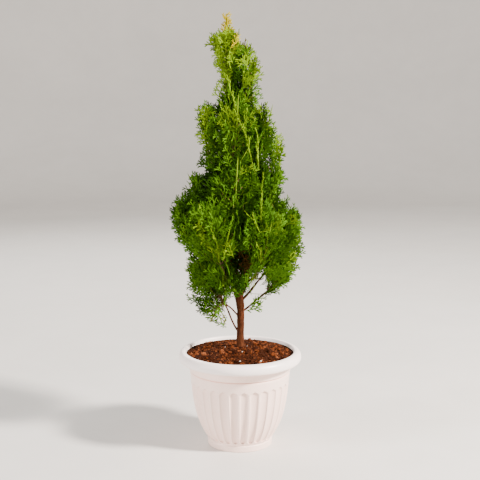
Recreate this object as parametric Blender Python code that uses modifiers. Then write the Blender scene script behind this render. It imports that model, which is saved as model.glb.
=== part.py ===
"""Potted thuja: a young upright thuja with a bare foot of stem, standing in a fluted round plastic pot.

Metres, +Z up. The origin is the centre of the pot's flat underside, and the fuller side of the tree faces -Y.
The pot and its soil are turned shapes, the trunk and boughs are tapering tubes, and each mass of foliage is
one stem with flat toothed sprays round it, grown by one seeded rule and fused into a single solid. Headings
are degrees seen from above: 0 is to the right (+X), 90 is the back, 180 the left and 270 the front.
"""

import math
import random
from dataclasses import dataclass

import bmesh
import bpy
import numpy as np
from mathutils import Quaternion, Vector, noise
from mathutils.bvhtree import BVHTree
from mathutils.geometry import interpolate_bezier

# ---------------------------------------------------------------- driving dimensions, metres

SEAT_GAP = 0.0003  # clear space between two pieces where one rests on the other
MERGE = 0.000001

# The pot: a rolled rim, a plain band, thirty flutes and a plain foot.
POT_HEIGHT = 0.1585
RIM_RADIUS, RIM_WIDEST_HEIGHT = 0.1010, 0.1480
RIM_CREST_RADIUS = 0.0925
RIM_LOWER_RADIUS, RIM_LOWER_HEIGHT = 0.0975, 0.1415
LIP_INNER_RADIUS = 0.0896
WALL, FLOOR = 0.0028, 0.0040
BAND_RADIUS, BAND_TOP, BAND_FOOT = 0.0838, 0.1425, 0.1265
BODY_RADIUS, BODY_TOP = 0.0828, 0.1255
BODY_TAPER, BODY_BELLY, BELLY_POWER = 0.0104, 0.0194, 3.7
WAIST_HEIGHT = 0.0110
FOOT_RADIUS = 0.0537
FLUTES, FLUTE_DEPTH = 30, 0.0015
FLUTE_TOP, FLUTE_FOOT, FLUTE_END = 0.1085, 0.0150, 0.0060
FLUTE_TURN = math.radians(-1.2)
POT_STEPS = 2 * FLUTES  # one step on each ridge and one in each flute
DRAIN_HOLES, DRAIN_RADIUS, DRAIN_CIRCLE = 4, 0.0045, 0.0340
DRAIN_TURN = math.radians(4.0)

# The soil fills the pot to just under the lip and rises a little to the trunk, in broad soft lumps.
SOIL_EDGE_HEIGHT, SOIL_CROWN_HEIGHT = 0.1530, 0.1640
SOIL_EDGE_RADIUS = LIP_INNER_RADIUS - 0.0010
SOIL_SEAT_RADIUS = 0.0130
SOIL_SLOPE = (  # (radius, height)
    (SOIL_SEAT_RADIUS, SOIL_CROWN_HEIGHT),
    (0.0450, SOIL_CROWN_HEIGHT - 0.0045),
    (SOIL_EDGE_RADIUS - 0.0120, SOIL_EDGE_HEIGHT + 0.0015),
    (SOIL_EDGE_RADIUS, SOIL_EDGE_HEIGHT),
)
SOIL_RINGS = (0.0235, 0.0345, 0.0455, 0.0565, 0.0675, 0.0785)
SOIL_LUMP_SPAN, SOIL_LUMP_RISE, SOIL_LUMP_FADE = 0.0135, 0.0044, 0.0090
SOIL_STEPS = FLUTES

# The trunk: (height, x, y, radius) from its flat foot on the soil up through the fork to its tip.
TRUNK_STATIONS = (
    (SOIL_CROWN_HEIGHT + SEAT_GAP, 0.0008, 0.000, 0.0080),
    (0.1680, 0.0008, 0.000, 0.0068),
    (0.1800, 0.0006, 0.000, 0.0060),
    (0.2000, 0.0010, 0.000, 0.0057),
    (0.2200, 0.0013, 0.000, 0.0060),
    (0.2360, 0.0004, 0.000, 0.0067),
    (0.2490, -0.0016, 0.000, 0.0071),
    (0.2650, -0.0080, 0.001, 0.0053),
    (0.3000, -0.0140, 0.003, 0.0045),
    (0.3800, -0.0180, 0.003, 0.0038),
    (0.4600, -0.0195, 0.002, 0.0030),
    (0.5200, -0.0200, 0.001, 0.0022),
    (0.5720, -0.0205, 0.000, 0.0015),
)
TRUNK_SIDES, BOUGH_SIDES, STEM_SIDES = 10, 6, 4
ROUTE_STEPS = 6  # points along a bough or a stem
ROUTE_PULL = 0.36  # how far a route keeps its first and last direction, as a share of its length
CLEARANCE_SIDES = 16

# The crown's outline from the front: (height, left edge, right edge). It is round at every height.
CROWN_EDGES = (
    (0.198, -0.052, 0.020),
    (0.215, -0.074, 0.040),
    (0.240, -0.091, 0.062),
    (0.279, -0.091, 0.088),
    (0.306, -0.093, 0.098),
    (0.342, -0.103, 0.104),
    (0.388, -0.112, 0.100),
    (0.415, -0.104, 0.092),
    (0.450, -0.090, 0.079),
    (0.490, -0.072, 0.077),
    (0.530, -0.069, 0.065),
    (0.560, -0.069, 0.053),
    (0.590, -0.048, 0.048),
    (0.640, -0.046, 0.034),
    (0.675, -0.048, 0.014),
    (0.690, -0.027, -0.011),
    (0.704, -0.023, -0.018),
)

# A spray is a flat toothed blade: a rib with teeth that lean forward on both sides.
LONGEST_SPRAY = 0.084
SHORTEST_SHARE = 0.40  # the shortest spray of a mass, as a share of its longest
SPRAY_HALF_WIDTH = 0.33  # these shares are of the spray's length
SPRAY_THICKNESS = 0.022
SPRAY_STALK = 0.09  # length of the plain stalk below the first tooth
STALK_HALF_WIDTH, STALK_HALF_THICKNESS = 0.0007, 0.0005
TOOTH_SWEEP = 0.85  # how far a tooth leans forward, as a share of its reach
NOTCH = 0.50  # width left between two teeth, as a share of the width there
TOOTH_JITTER = 0.14
TEETH_AT = ((0.070, 4), (0.0, 3))  # teeth a side of a spray from this length up
SPRAY_SHRINK, SPRAY_TRIES = 0.86, 14
SPREAD = 2.0  # how much a spray's distance from the others counts beside its length
SPRAY_MIDDLE = 0.6
LEAST_LEAN, MOST_LEAN, LEAN_EASE = 30.0, 75.0, 0.35  # degrees off the stem, less by this share at its end
LEAST_LIFT, MOST_LIFT = 0.1, 0.5  # how far a spray turns up
TURN_JITTER = 0.6
TIP_SHORTER = 0.25  # how much shorter the sprays are at the stem's end
STEM_END_SHARE = 0.55  # how much of the last spray's length the stem stops short of its tip
GOLDEN_ANGLE = math.radians(137.5)
SPACE_MARGIN = 0.0012  # how much nearer a spray is to its own stem's line than to its neighbours'
LIMB_MARGIN = 0.0010
STEM_FOOT_RADIUS, STEM_TIP_RADIUS = 0.0020, 0.0012


@dataclass(frozen=True)
class Bough:
    """One tapering limb from the trunk out to where it enters its mass of foliage."""

    name: str
    foot_height: float
    heading: float
    reach: float
    height: float
    foot_radius: float
    tip_radius: float
    rise: float = 38.0
    tip_rise: float = 52.0


@dataclass(frozen=True)
class Mass:
    """One mass of foliage: its stem starts on its carrier, and heading, reach and height place its tip."""

    name: str
    carrier: str
    foot_height: float
    heading: float
    reach: float
    height: float
    sprays: int
    tip_rise: float = 62.0
    longest: float = LONGEST_SPRAY
    first: float = 0.20


BOUGHS = (
    Bough("bough_fork_right", 0.2450, 12, 0.0225, 0.300, 0.0031, 0.0023, 58, 62),
    Bough("bough_right_side", 0.2400, 343, 0.0430, 0.290, 0.0021, 0.0013, 38, 45),
    Bough("bough_right_low", 0.2220, 12, 0.0340, 0.246, 0.0017, 0.0011, 25, 35),
    Bough("bough_left_low", 0.1860, 188, 0.0250, 0.236, 0.0016, 0.0012, 45, 62),
    Bough("bough_left_inner", 0.2120, 210, 0.0290, 0.238, 0.0015, 0.0011, 40, 20),
    Bough("bough_left", 0.2740, 178, 0.0460, 0.308, 0.0024, 0.0015, 34, 46),
    Bough("bough_front_left", 0.2580, 238, 0.0390, 0.286, 0.0022, 0.0014, 30, 42),
    Bough("bough_front_right", 0.2600, 302, 0.0380, 0.286, 0.0022, 0.0014, 30, 42),
    Bough("bough_back_right", 0.2680, 62, 0.0400, 0.290, 0.0023, 0.0014, 28, 42),
    Bough("bough_back_left", 0.2600, 124, 0.0410, 0.290, 0.0022, 0.0014, 30, 42),
)

MASSES = (
    Mass("foliage_leader", "trunk", 0.0, 180, 0.0210, 0.703, 16, 89, 0.062, 0.03),
    # The lowest tufts.
    Mass("foliage_left_drooping", "bough_left_inner", 0.0, 197, 0.0540, 0.204, 7, -50, 0.040, 0.15),
    Mass("foliage_left_low", "bough_left_low", 0.0, 184, 0.0900, 0.302, 13, 45, LONGEST_SPRAY, 0.12),
    Mass("foliage_right_low", "bough_right_low", 0.0, 6, 0.0880, 0.288, 13, 40, LONGEST_SPRAY, 0.12),
    # The ring of boughs round the crown's widest part.
    Mass("foliage_left", "bough_left", 0.0, 180, 0.1050, 0.398, 13),
    Mass("foliage_front_left", "bough_front_left", 0.0, 240, 0.0980, 0.392, 13),
    Mass("foliage_front_right", "bough_front_right", 0.0, 301, 0.0980, 0.390, 13),
    Mass("foliage_right", "bough_right_side", 0.0, 357, 0.1010, 0.384, 13, 60),
    Mass("foliage_back_right", "bough_back_right", 0.0, 60, 0.0980, 0.396, 13),
    Mass("foliage_back_left", "bough_back_left", 0.0, 121, 0.0980, 0.394, 13),
    # The plumes on the middle of the trunk.
    Mass("foliage_right_plume", "bough_fork_right", 0.0, 358, 0.0770, 0.503, 15, 84),
    Mass("foliage_left_middle", "trunk", 0.345, 178, 0.0880, 0.458, 14),
    Mass("foliage_front_middle", "trunk", 0.350, 268, 0.0780, 0.490, 14, 72),
    Mass("foliage_back_middle", "trunk", 0.360, 92, 0.0780, 0.490, 14, 72),
    # The plumes higher up.
    Mass("foliage_left_high", "trunk", 0.440, 179, 0.0670, 0.566, 14, 74),
    Mass("foliage_front_high", "trunk", 0.455, 268, 0.0540, 0.585, 13, 78),
    Mass("foliage_right_high", "trunk", 0.425, 2, 0.0540, 0.568, 14, 78),
    Mass("foliage_back_high", "trunk", 0.465, 92, 0.0540, 0.588, 13, 78),
    # The top.
    Mass("foliage_right_top", "trunk", 0.535, 352, 0.0310, 0.652, 13, 80, 0.066),
)


# ---------------------------------------------------------------- scene and materials


def clear_scene():
    """Remove whatever the opened scene holds."""
    for obj in list(bpy.data.objects):
        bpy.data.objects.remove(obj, do_unlink=True)


def new_collection(name, hidden=False):
    """Make a collection under the scene; a hidden one is left out of renders."""
    collection = bpy.data.collections.new(name)
    bpy.context.scene.collection.children.link(collection)
    collection.hide_render = hidden
    return collection


def new_material(name, colour, roughness):
    """Make a Principled material of one colour."""
    material = bpy.data.materials.new(name)
    material.use_nodes = True
    shader = material.node_tree.nodes["Principled BSDF"]
    shader.inputs["Base Color"].default_value = (*colour, 1.0)
    shader.inputs["Roughness"].default_value = roughness
    shader.inputs["Metallic"].default_value = 0.0
    return material


def add_object(name, mesh, collection, material=None):
    """Put a mesh in the collection as an object of this name."""
    obj = bpy.data.objects.new(name, mesh)
    collection.objects.link(obj)
    if material is not None:
        mesh.materials.clear()
        mesh.materials.append(material)
    return obj


def as_guide(obj):
    """Mark a cutter or a clearance shape, which is no part of the object."""
    obj.hide_render = True
    obj.display_type = "WIRE"
    return obj


def evaluated_mesh(obj):
    """The object's mesh with its modifiers applied."""
    bpy.context.view_layer.update()
    graph = bpy.context.evaluated_depsgraph_get()
    return bpy.data.meshes.new_from_object(obj.evaluated_get(graph))


def weld(mesh):
    """Make one of the points that lie together, as where a tube's caps meet its side."""
    shape = bmesh.new()
    shape.from_mesh(mesh)
    bmesh.ops.remove_doubles(shape, verts=shape.verts, dist=MERGE)
    shape.to_mesh(mesh)
    shape.free()
    return mesh


def applied(obj):
    """Replace the object's mesh by its evaluated one, without modifiers."""
    mesh = evaluated_mesh(obj)
    obj.modifiers.clear()
    obj.data = mesh
    return obj


def boolean(obj, operation, cutter=None, collection=None, solver="EXACT"):
    """Add a Boolean with one object, or with every object of a collection."""
    modifier = obj.modifiers.new(operation.lower(), "BOOLEAN")
    modifier.operation = operation
    modifier.solver = solver
    if collection is None:
        modifier.object = cutter
    else:
        modifier.operand_type = "COLLECTION"
        modifier.collection = collection


# ---------------------------------------------------------------- pot and soil


def turned(name, profile, steps, collection, material):
    """Turn a profile of (radius, height) points round the Z axis into a solid."""
    mesh = bpy.data.meshes.new(name)
    edges = [(index, index + 1) for index in range(len(profile) - 1)]
    mesh.from_pydata([(radius, 0.0, height) for radius, height in profile], edges, [])
    obj = add_object(name, mesh, collection)
    screw = obj.modifiers.new("turn", "SCREW")
    screw.steps = steps
    screw.render_steps = steps
    screw.use_merge_vertices = True
    screw.merge_threshold = 0.0001
    weld(applied(obj).data)
    obj.data.materials.append(material)
    return obj


def body_radius(height):
    """Outer radius of the pot's side: an even taper whose belly rounds in towards the foot."""
    share = (BODY_TOP - height) / (BODY_TOP - WAIST_HEIGHT)
    return BODY_RADIUS - BODY_TAPER * share - BODY_BELLY * share**BELLY_POWER


def arc(centre, radii, start, end, steps):
    """Points of an elliptic arc about a (radius, height) centre, from start to end degrees."""
    points = []
    for step in range(steps + 1):
        angle = math.radians(start + (end - start) * step / steps)
        points.append((centre[0] + radii[0] * math.cos(angle), centre[1] + radii[1] * math.sin(angle)))
    return points


def inner_wall():
    """Inside of the pot from the edge of its floor up to the lip."""
    side = [(body_radius(height) - WALL, height) for height in (0.012, 0.040, BODY_TOP)]
    flare = [(BAND_RADIUS - WALL, BAND_TOP + WALL), (LIP_INNER_RADIUS - 0.0009, 0.1520)]
    return [(side[0][0] - 0.004, FLOOR), *side, *flare]


def pot_profile():
    """The pot's section, up its inside, over the rolled rim and down its outside to the underside."""
    crest = arc((RIM_CREST_RADIUS, RIM_WIDEST_HEIGHT),
                (RIM_RADIUS - RIM_CREST_RADIUS, POT_HEIGHT - RIM_WIDEST_HEIGHT), 90, 0, 3)
    under = (RIM_LOWER_RADIUS, RIM_LOWER_HEIGHT)
    band = [(BAND_RADIUS, BAND_TOP), (BAND_RADIUS - 0.0003, BAND_FOOT), (BODY_RADIUS, BODY_TOP)]
    heights = (
        FLUTE_TOP,
        FLUTE_TOP - FLUTE_END,
        0.070,
        0.042,
        FLUTE_FOOT + FLUTE_END,
        FLUTE_FOOT,
        WAIST_HEIGHT,
    )
    side = [(body_radius(height), height) for height in heights]
    foot = [(FOOT_RADIUS, 0.0085), (FOOT_RADIUS, 0.0)]
    lip = (LIP_INNER_RADIUS, POT_HEIGHT - 0.0010)
    return [(0.0, FLOOR), *inner_wall(), lip, *crest, under, *band, *side, *foot, (0.0, 0.0)]


def flute_depth(angle, height):
    """How far a flute cuts into the pot's side; it runs out smoothly at both of its ends."""
    run = min(FLUTE_TOP - height, height - FLUTE_FOOT) / FLUTE_END
    fade = min(max(run, 0.0), 1.0)
    return FLUTE_DEPTH * fade * (0.5 + 0.5 * math.cos(FLUTES * angle))


def make_pot(collection, material):
    """The pot, with its flutes and the drain holes in its floor."""
    pot = turned("pot", pot_profile(), POT_STEPS, collection, material)
    for vertex in pot.data.vertices:
        radius = math.hypot(vertex.co.x, vertex.co.y)
        if FLUTE_FOOT < vertex.co.z < FLUTE_TOP and radius > body_radius(vertex.co.z) - WALL / 2:
            angle = math.atan2(vertex.co.y, vertex.co.x)
            scale = 1.0 - flute_depth(angle, vertex.co.z) / radius
            vertex.co.x *= scale
            vertex.co.y *= scale
    drills = new_collection("drain_drills", hidden=True)
    for index in range(DRAIN_HOLES):
        shape = bmesh.new()
        bmesh.ops.create_cone(shape, cap_ends=True, segments=8, radius1=DRAIN_RADIUS,
                              radius2=DRAIN_RADIUS, depth=4 * FLOOR)
        mesh = bpy.data.meshes.new(f"drain_drill_{index}")
        shape.to_mesh(mesh)
        shape.free()
        drill = as_guide(add_object(mesh.name, mesh, drills))
        drill.rotation_euler.z = math.tau * index / DRAIN_HOLES + DRAIN_TURN
        drill.location = place(math.degrees(drill.rotation_euler.z), DRAIN_CIRCLE, 0.0)
    boolean(pot, "DIFFERENCE", collection=drills)
    pot.rotation_euler.z = FLUTE_TURN
    return pot


def soil_height(x, y):
    """Height of the soil at a place: the slope with its lumps, which fade out at the trunk's seat and at the edge."""
    radius = math.hypot(x, y)
    fade = min(radius - SOIL_SEAT_RADIUS, SOIL_EDGE_RADIUS - radius, SOIL_LUMP_FADE) / SOIL_LUMP_FADE
    lump = noise.noise(Vector((x, y, 0.0)) / SOIL_LUMP_SPAN)
    return float(np.interp(radius, *zip(*SOIL_SLOPE))) + SOIL_LUMP_RISE * max(fade, 0.0) * lump


def make_soil(collection, material):
    """The soil: it follows the inside of the pot and has a flat seat under the trunk."""
    wall = [(radius - SEAT_GAP, height) for radius, height in inner_wall()[1:]]
    floor = [(wall[0][0] - 0.004, FLOOR + SEAT_GAP), (0.0, FLOOR + SEAT_GAP)]
    radii = (0.0, SOIL_SEAT_RADIUS, *SOIL_RINGS, SOIL_EDGE_RADIUS)
    profile = [*((radius, SOIL_CROWN_HEIGHT) for radius in radii), *wall[::-1], *floor]
    soil = turned("soil", profile, SOIL_STEPS, collection, material)
    for vertex in soil.data.vertices:
        if vertex.co.z > SOIL_CROWN_HEIGHT - MERGE:
            vertex.co.z = soil_height(vertex.co.x, vertex.co.y)
    soil.rotation_euler.z = FLUTE_TURN
    return soil


# ---------------------------------------------------------------- limbs


def direction(heading, rise):
    """Unit vector of a heading, raised by this many degrees."""
    turn, lift = math.radians(heading), math.radians(rise)
    flat = math.cos(lift)
    return Vector((flat * math.cos(turn), flat * math.sin(turn), math.sin(lift)))


def place(heading, reach, height):
    """The point at this heading and reach from the pot's axis, at this height."""
    turn = math.radians(heading)
    return Vector((reach * math.cos(turn), reach * math.sin(turn), height))


def trunk_at(height):
    """Middle of the trunk at a height."""
    heights, xs, ys, _ = zip(*TRUNK_STATIONS)
    return Vector((np.interp(height, heights, xs), np.interp(height, heights, ys), height))


def route(start, start_way, end, end_way):
    """Points of a smooth line that leaves start along start_way and arrives at end along end_way."""
    pull = (end - start).length * ROUTE_PULL
    return interpolate_bezier(start, start + start_way * pull, end - end_way * pull, end, ROUTE_STEPS)


def trunk_route():
    """Middle line of the trunk."""
    return [Vector((x, y, height)) for height, x, y, _ in TRUNK_STATIONS]


def trunk_radii():
    """Radius of the trunk at each of its stations."""
    return [station[3] for station in TRUNK_STATIONS]


def bough_route(bough):
    """Middle line of a bough, from inside the trunk to its tip."""
    start, end = trunk_at(bough.foot_height), place(bough.heading, bough.reach, bough.height)
    outward = math.degrees(math.atan2(end.y - start.y, end.x - start.x))
    return route(start, direction(outward, bough.rise), end, direction(outward, bough.tip_rise))


def even_radii(first, last, count):
    """Radii that taper evenly."""
    return [first + (last - first) * step / (count - 1) for step in range(count)]


def make_tube(name, points, radii, sides, collection, material=None):
    """A tapering tube with flat ends, as a welded mesh."""
    curve = bpy.data.curves.new(name, "CURVE")
    curve.dimensions = "3D"
    curve.bevel_depth = 1.0  # each point's own radius is then the real one
    curve.bevel_resolution = (sides - 4) // 2
    curve.use_fill_caps = True
    spline = curve.splines.new("POLY")
    spline.points.add(len(points) - 1)
    for knot, point, radius in zip(spline.points, points, radii):
        knot.co = (*point, 1.0)
        knot.radius = radius
    guide = bpy.data.objects.new(name, curve)
    collection.objects.link(guide)
    mesh = weld(evaluated_mesh(guide))
    bpy.data.objects.remove(guide, do_unlink=True)
    return add_object(name, mesh, collection, material)


def make_trunk(collection, material):
    """The trunk, whole from the soil to its tip inside the leader."""
    return make_tube("trunk", trunk_route(), trunk_radii(), TRUNK_SIDES, collection, material)


def make_trunk_clearance(cutters):
    """The trunk's shape made wider by the seat gap, which cuts the foot of each bough and stem."""
    rounding = 1.0 / math.cos(math.pi / CLEARANCE_SIDES)
    radii = [(radius + SEAT_GAP) * rounding for radius in trunk_radii()]
    return as_guide(make_tube("trunk_clearance", trunk_route(), radii, CLEARANCE_SIDES, cutters))


def make_bough(bough, clearance, collection, material):
    """One bough, its foot cut to the trunk's side."""
    points = bough_route(bough)
    radii = even_radii(bough.foot_radius, bough.tip_radius, len(points))
    limb = make_tube(bough.name, points, radii, BOUGH_SIDES, collection, material)
    boolean(limb, "DIFFERENCE", cutter=clearance)
    keep_largest_body(applied(limb))
    return limb


def keep_largest_body(obj):
    """Drop loose scraps and the skins of sealed hollows, which leaves one solid."""
    shape = bmesh.new()
    shape.from_mesh(obj.data)
    bodies, seen = [], set()
    for first in shape.faces:
        if first in seen:
            continue
        seen.add(first)
        body, front = [first], [first]
        while front:
            for edge in front.pop().edges:
                fresh = [face for face in edge.link_faces if face not in seen]
                seen.update(fresh)
                body += fresh
                front += fresh
        bodies.append(body)
    bodies.sort(key=len)
    scraps = [face for body in bodies[:-1] for face in body]
    bmesh.ops.delete(shape, geom=scraps, context="FACES")
    shape.to_mesh(obj.data)
    shape.free()


# ---------------------------------------------------------------- foliage


@dataclass(frozen=True)
class Spray:
    """One flat toothed blade: its root, the directions of its rib and teeth, and each tooth's share."""

    root: Vector
    along: Vector
    across: Vector
    length: float
    teeth: tuple

    def width_at(self, share):
        """Half the blade's width at a share of its length."""
        return SPRAY_HALF_WIDTH * self.length * math.sin(math.pi * share**0.8) ** 0.75

    def at(self, across, along, up=0.0):
        """World place of a point of the blade."""
        return self.root + self.across * across + self.along * along + self.along.cross(self.across) * up

    def middle(self):
        """World place of the middle of the blade."""
        return self.root + self.along * (SPRAY_MIDDLE * self.length)

    def tooth_count(self):
        """How many teeth stand on each side."""
        return len(self.teeth) // 2

    def share_of(self, step):
        """Share of the blade's length at which notch number step lies; halves are between two notches."""
        return SPRAY_STALK + (1.0 - SPRAY_STALK) * step / (self.tooth_count() + 0.6)

    def rows(self):
        """(Distance along the rib, half width, half thickness) at the root and at each notch."""
        rows = [(0.0, STALK_HALF_WIDTH, STALK_HALF_THICKNESS)]
        for step in range(self.tooth_count() + 1):
            share = self.share_of(step)
            width = NOTCH * self.width_at(share) if step else STALK_HALF_WIDTH
            thick = 0.5 * SPRAY_THICKNESS * self.length * (1.0 - 0.55 * share)
            rows.append((share * self.length, width, thick))
        return rows

    def tooth(self, index, side):
        """(across, along) of one tooth's point."""
        reach = self.width_at(self.share_of(index + 0.5)) * self.teeth[2 * index + (side > 0)]
        return side * reach, self.share_of(index) * self.length + TOOTH_SWEEP * reach

    def outline(self):
        """World places of the blade's tip, teeth, notches and rib."""
        places = [self.at(0.0, self.length)]
        for along, width, thick in self.rows():
            places += [self.at(side * width, along) for side in (-1, 1)]
            places += [self.at(0.0, along, side * thick) for side in (-1, 1)]
        for index in range(self.tooth_count()):
            places += [self.at(*self.tooth(index, side)) for side in (-1, 1)]
        return places

    def shape(self):
        """The blade as a closed bmesh, thickest along its rib."""
        shape = bmesh.new()
        rows = self.rows()
        tip = shape.verts.new(self.at(0.0, self.length))
        ribs = {}
        for up in (-1, 1):
            ribs[up] = [shape.verts.new(self.at(0.0, along, up * thick)) for along, _, thick in rows]
        for side in (-1, 1):
            notches = [shape.verts.new(self.at(side * width, along)) for along, width, _ in rows]
            teeth = [self.tooth(index, side) for index in range(self.tooth_count())]
            points = [shape.verts.new(self.at(*tooth)) for tooth in teeth]
            for rib in ribs.values():
                shape.faces.new((rib[0], notches[0], notches[1], rib[1]))
                for index, point in enumerate(points, start=1):
                    shape.faces.new((rib[index], notches[index], point))
                    shape.faces.new((rib[index], point, notches[index + 1]))
                    shape.faces.new((rib[index], notches[index + 1], rib[index + 1]))
                shape.faces.new((rib[-1], notches[-1], tip))
            shape.faces.new((ribs[1][0], ribs[-1][0], notches[0]))
        bmesh.ops.recalc_face_normals(shape, faces=shape.faces)
        return shape

    def mesh(self, name):
        """The blade as a mesh."""
        shape = self.shape()
        mesh = bpy.data.meshes.new(name)
        shape.to_mesh(mesh)
        shape.free()
        return mesh

    def tree(self):
        """The blade's faces, ready to be tested against another's."""
        shape = self.shape()
        tree = BVHTree.FromBMesh(shape)
        shape.free()
        return tree


class CrownSpace:
    """Who owns which part of the crown: every point belongs to the mass whose line is nearest."""

    def __init__(self, lines, limbs):
        """Take each mass's line, and each limb's line with its radii."""
        starts, ends, radii, self.firsts = [], [], [], []
        for line in lines:
            self.firsts.append(len(starts))
            starts += line[:-1]
            ends += line[1:]
        self.mass_segments = len(starts)
        for line, sizes in limbs:
            starts += line[:-1]
            ends += line[1:]
            radii += [max(pair) for pair in zip(sizes, sizes[1:])]
        self.starts = np.array([tuple(point) for point in starts])
        self.steps = np.array([tuple(point) for point in ends]) - self.starts
        self.limb_radii = np.array(radii)

    def distances(self, places):
        """Distance of each place from each segment."""
        offsets = places[:, None, :] - self.starts[None, :, :]
        shares = (offsets * self.steps).sum(axis=2) / (self.steps**2).sum(axis=1)
        nearest = self.steps * np.clip(shares, 0.0, 1.0)[:, :, None]
        return np.linalg.norm(offsets - nearest, axis=2)

    def holds(self, owner, places):
        """Whether these places lie in the crown, in the owner's space and clear of every limb."""
        places = np.array([tuple(place) for place in places])
        heights, lefts, rights = zip(*CROWN_EDGES)
        left = np.interp(places[:, 2], heights, lefts, left=np.nan, right=np.nan)
        right = np.interp(places[:, 2], heights, rights, left=np.nan, right=np.nan)
        from_axis = np.hypot(places[:, 0] - (left + right) / 2, places[:, 1])
        if not (from_axis <= (right - left) / 2).all():
            return False
        gaps = self.distances(places)
        to_masses = np.minimum.reduceat(gaps[:, : self.mass_segments], self.firsts, axis=1)
        own = to_masses[:, owner].copy()
        to_masses[:, owner] = np.inf
        if (to_masses.min(axis=1) - own < SPACE_MARGIN).any():
            return False
        return bool((gaps[:, self.mass_segments :] - self.limb_radii > LIMB_MARGIN).all())


def stem_route(mass, boughs):
    """Middle line of a mass's stem, from its carrier to its tip."""
    tip = place(mass.heading, mass.reach, mass.height)
    if mass.carrier in boughs:
        last, end = bough_route(boughs[mass.carrier])[-2:]
        way = (end - last).normalized()
        start = end + way * SEAT_GAP
    elif mass.foot_height:
        start = trunk_at(mass.foot_height)
        outward = math.degrees(math.atan2(tip.y - start.y, tip.x - start.x))
        way = direction(outward, 30.0)
    else:
        last, end = trunk_route()[-2:]
        way = (end - last).normalized()
        start = end + way * SEAT_GAP
    outward = math.degrees(math.atan2(tip.y - start.y, tip.x - start.x))
    points = route(start, way, tip, direction(outward, mass.tip_rise))
    points[1] = points[0] + way * (points[1] - points[0]).length
    return points


def along_route(points, share):
    """Place and direction at a share of the way along a line of evenly spaced points."""
    at = min(share, 0.999) * (len(points) - 1)
    index = int(at)
    step = points[index + 1] - points[index]
    return points[index] + step * (at - index), step.normalized()


def teeth_for(length, rng):
    """A share for each tooth of a spray of this length, both sides."""
    count = next(teeth for least, teeth in TEETH_AT if length >= least)
    return tuple(1.0 + rng.uniform(-TOOTH_JITTER, TOOTH_JITTER) for _ in range(2 * count))


def blade_across(along, roll):
    """Direction of the teeth: in the upright plane through the rib, turned about the rib by roll."""
    level = along.cross(Vector((0.0, 0.0, 1.0)))
    level = level.normalized() if level.length > 0.05 else Vector((1.0, 0.0, 0.0))
    return Quaternion(along, roll) @ level.cross(along).normalized()


def grow_sprays(mass, owner, points, space):
    """The sprays of one mass: one at the stem's end, then the rest by turns of the golden angle."""
    rng = random.Random(mass.name)
    length = sum((after - before).length for before, after in zip(points, points[1:]))
    stem_end = 1.0 - STEM_END_SHARE * min(mass.longest / length, 1.0)
    root = along_route(points, stem_end)[0]
    last = points[-1] - root
    along = last.normalized()
    across = blade_across(along, rng.uniform(-0.5, 0.5))
    sprays = [Spray(root, along, across, last.length, teeth_for(last.length, rng))]
    trees = [sprays[0].tree()]
    for index in range(mass.sprays):
        share = mass.first + (stem_end - mass.first) * index / mass.sprays
        root, way = along_route(points, share)
        wanted = mass.longest * (1.0 - TIP_SHORTER * share)
        best, best_tree, most = None, None, 0.0
        for _ in range(SPRAY_TRIES):
            turn = GOLDEN_ANGLE * index + rng.uniform(-TURN_JITTER, TURN_JITTER)
            lean = math.radians(rng.uniform(LEAST_LEAN, MOST_LEAN) * (1.0 - LEAN_EASE * share))
            side = Quaternion(way, turn) @ way.orthogonal().normalized()
            along = way * math.cos(lean) + side * math.sin(lean)
            along = (along + Vector((0.0, 0.0, rng.uniform(LEAST_LIFT, MOST_LIFT)))).normalized()
            across = blade_across(along, rng.uniform(-math.pi / 2, math.pi / 2))
            wanted_spray = Spray(root, along, across, wanted, ())
            spray, tree = fitted_spray(wanted_spray, SHORTEST_SHARE * mass.longest, owner, space, trees, rng)
            if spray is None:
                continue
            apart = min((spray.middle() - other.middle()).length for other in sprays)
            if spray.length + SPREAD * apart > most:
                best, best_tree, most = spray, tree, spray.length + SPREAD * apart
        if best:
            sprays.append(best)
            trees.append(best_tree)
    return stem_end, sprays


def fitted_spray(spray, shortest, owner, space, trees, rng):
    """The spray shortened until its space holds it clear of the mass's other sprays, and its faces' tree."""
    length = spray.length
    while length >= shortest:
        shorter = Spray(spray.root, spray.along, spray.across, length, teeth_for(length, rng))
        if space.holds(owner, shorter.outline()):
            tree = shorter.tree()
            if not any(tree.overlap(other) for other in trees):
                return shorter, tree
        length *= SPRAY_SHRINK
    return None, None


def make_mass(mass, owner, boughs, space, clearance, collection, material):
    """One mass: its stem and its sprays joined into a single solid."""
    points = stem_route(mass, boughs)
    stem_end, sprays = grow_sprays(mass, owner, points, space)
    kept = [along_route(points, stem_end * step / (ROUTE_STEPS - 1))[0] for step in range(ROUTE_STEPS)]
    stem = make_tube(mass.name, kept, even_radii(STEM_FOOT_RADIUS, STEM_TIP_RADIUS, len(kept)), STEM_SIDES,
                     collection, material)
    if mass.carrier == "trunk" and mass.foot_height:
        boolean(stem, "DIFFERENCE", cutter=clearance)
        applied(stem)
    pieces = new_collection(mass.name + "_pieces", hidden=True)
    for index, spray in enumerate(sprays):
        add_object(f"{mass.name}_spray_{index}", spray.mesh("spray"), pieces)
    boolean(stem, "UNION", collection=pieces, solver="MANIFOLD")
    applied(stem)
    for piece in list(pieces.objects):
        bpy.data.objects.remove(piece, do_unlink=True)
    bpy.data.collections.remove(pieces)
    keep_largest_body(stem)
    return stem


# ---------------------------------------------------------------- the whole plant


def smooth(obj, angle=math.radians(35.0)):
    """Shade a round piece smooth, with its real edges kept sharp."""
    obj.data.shade_smooth()
    obj.data.set_sharp_from_angle(angle=angle)


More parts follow.
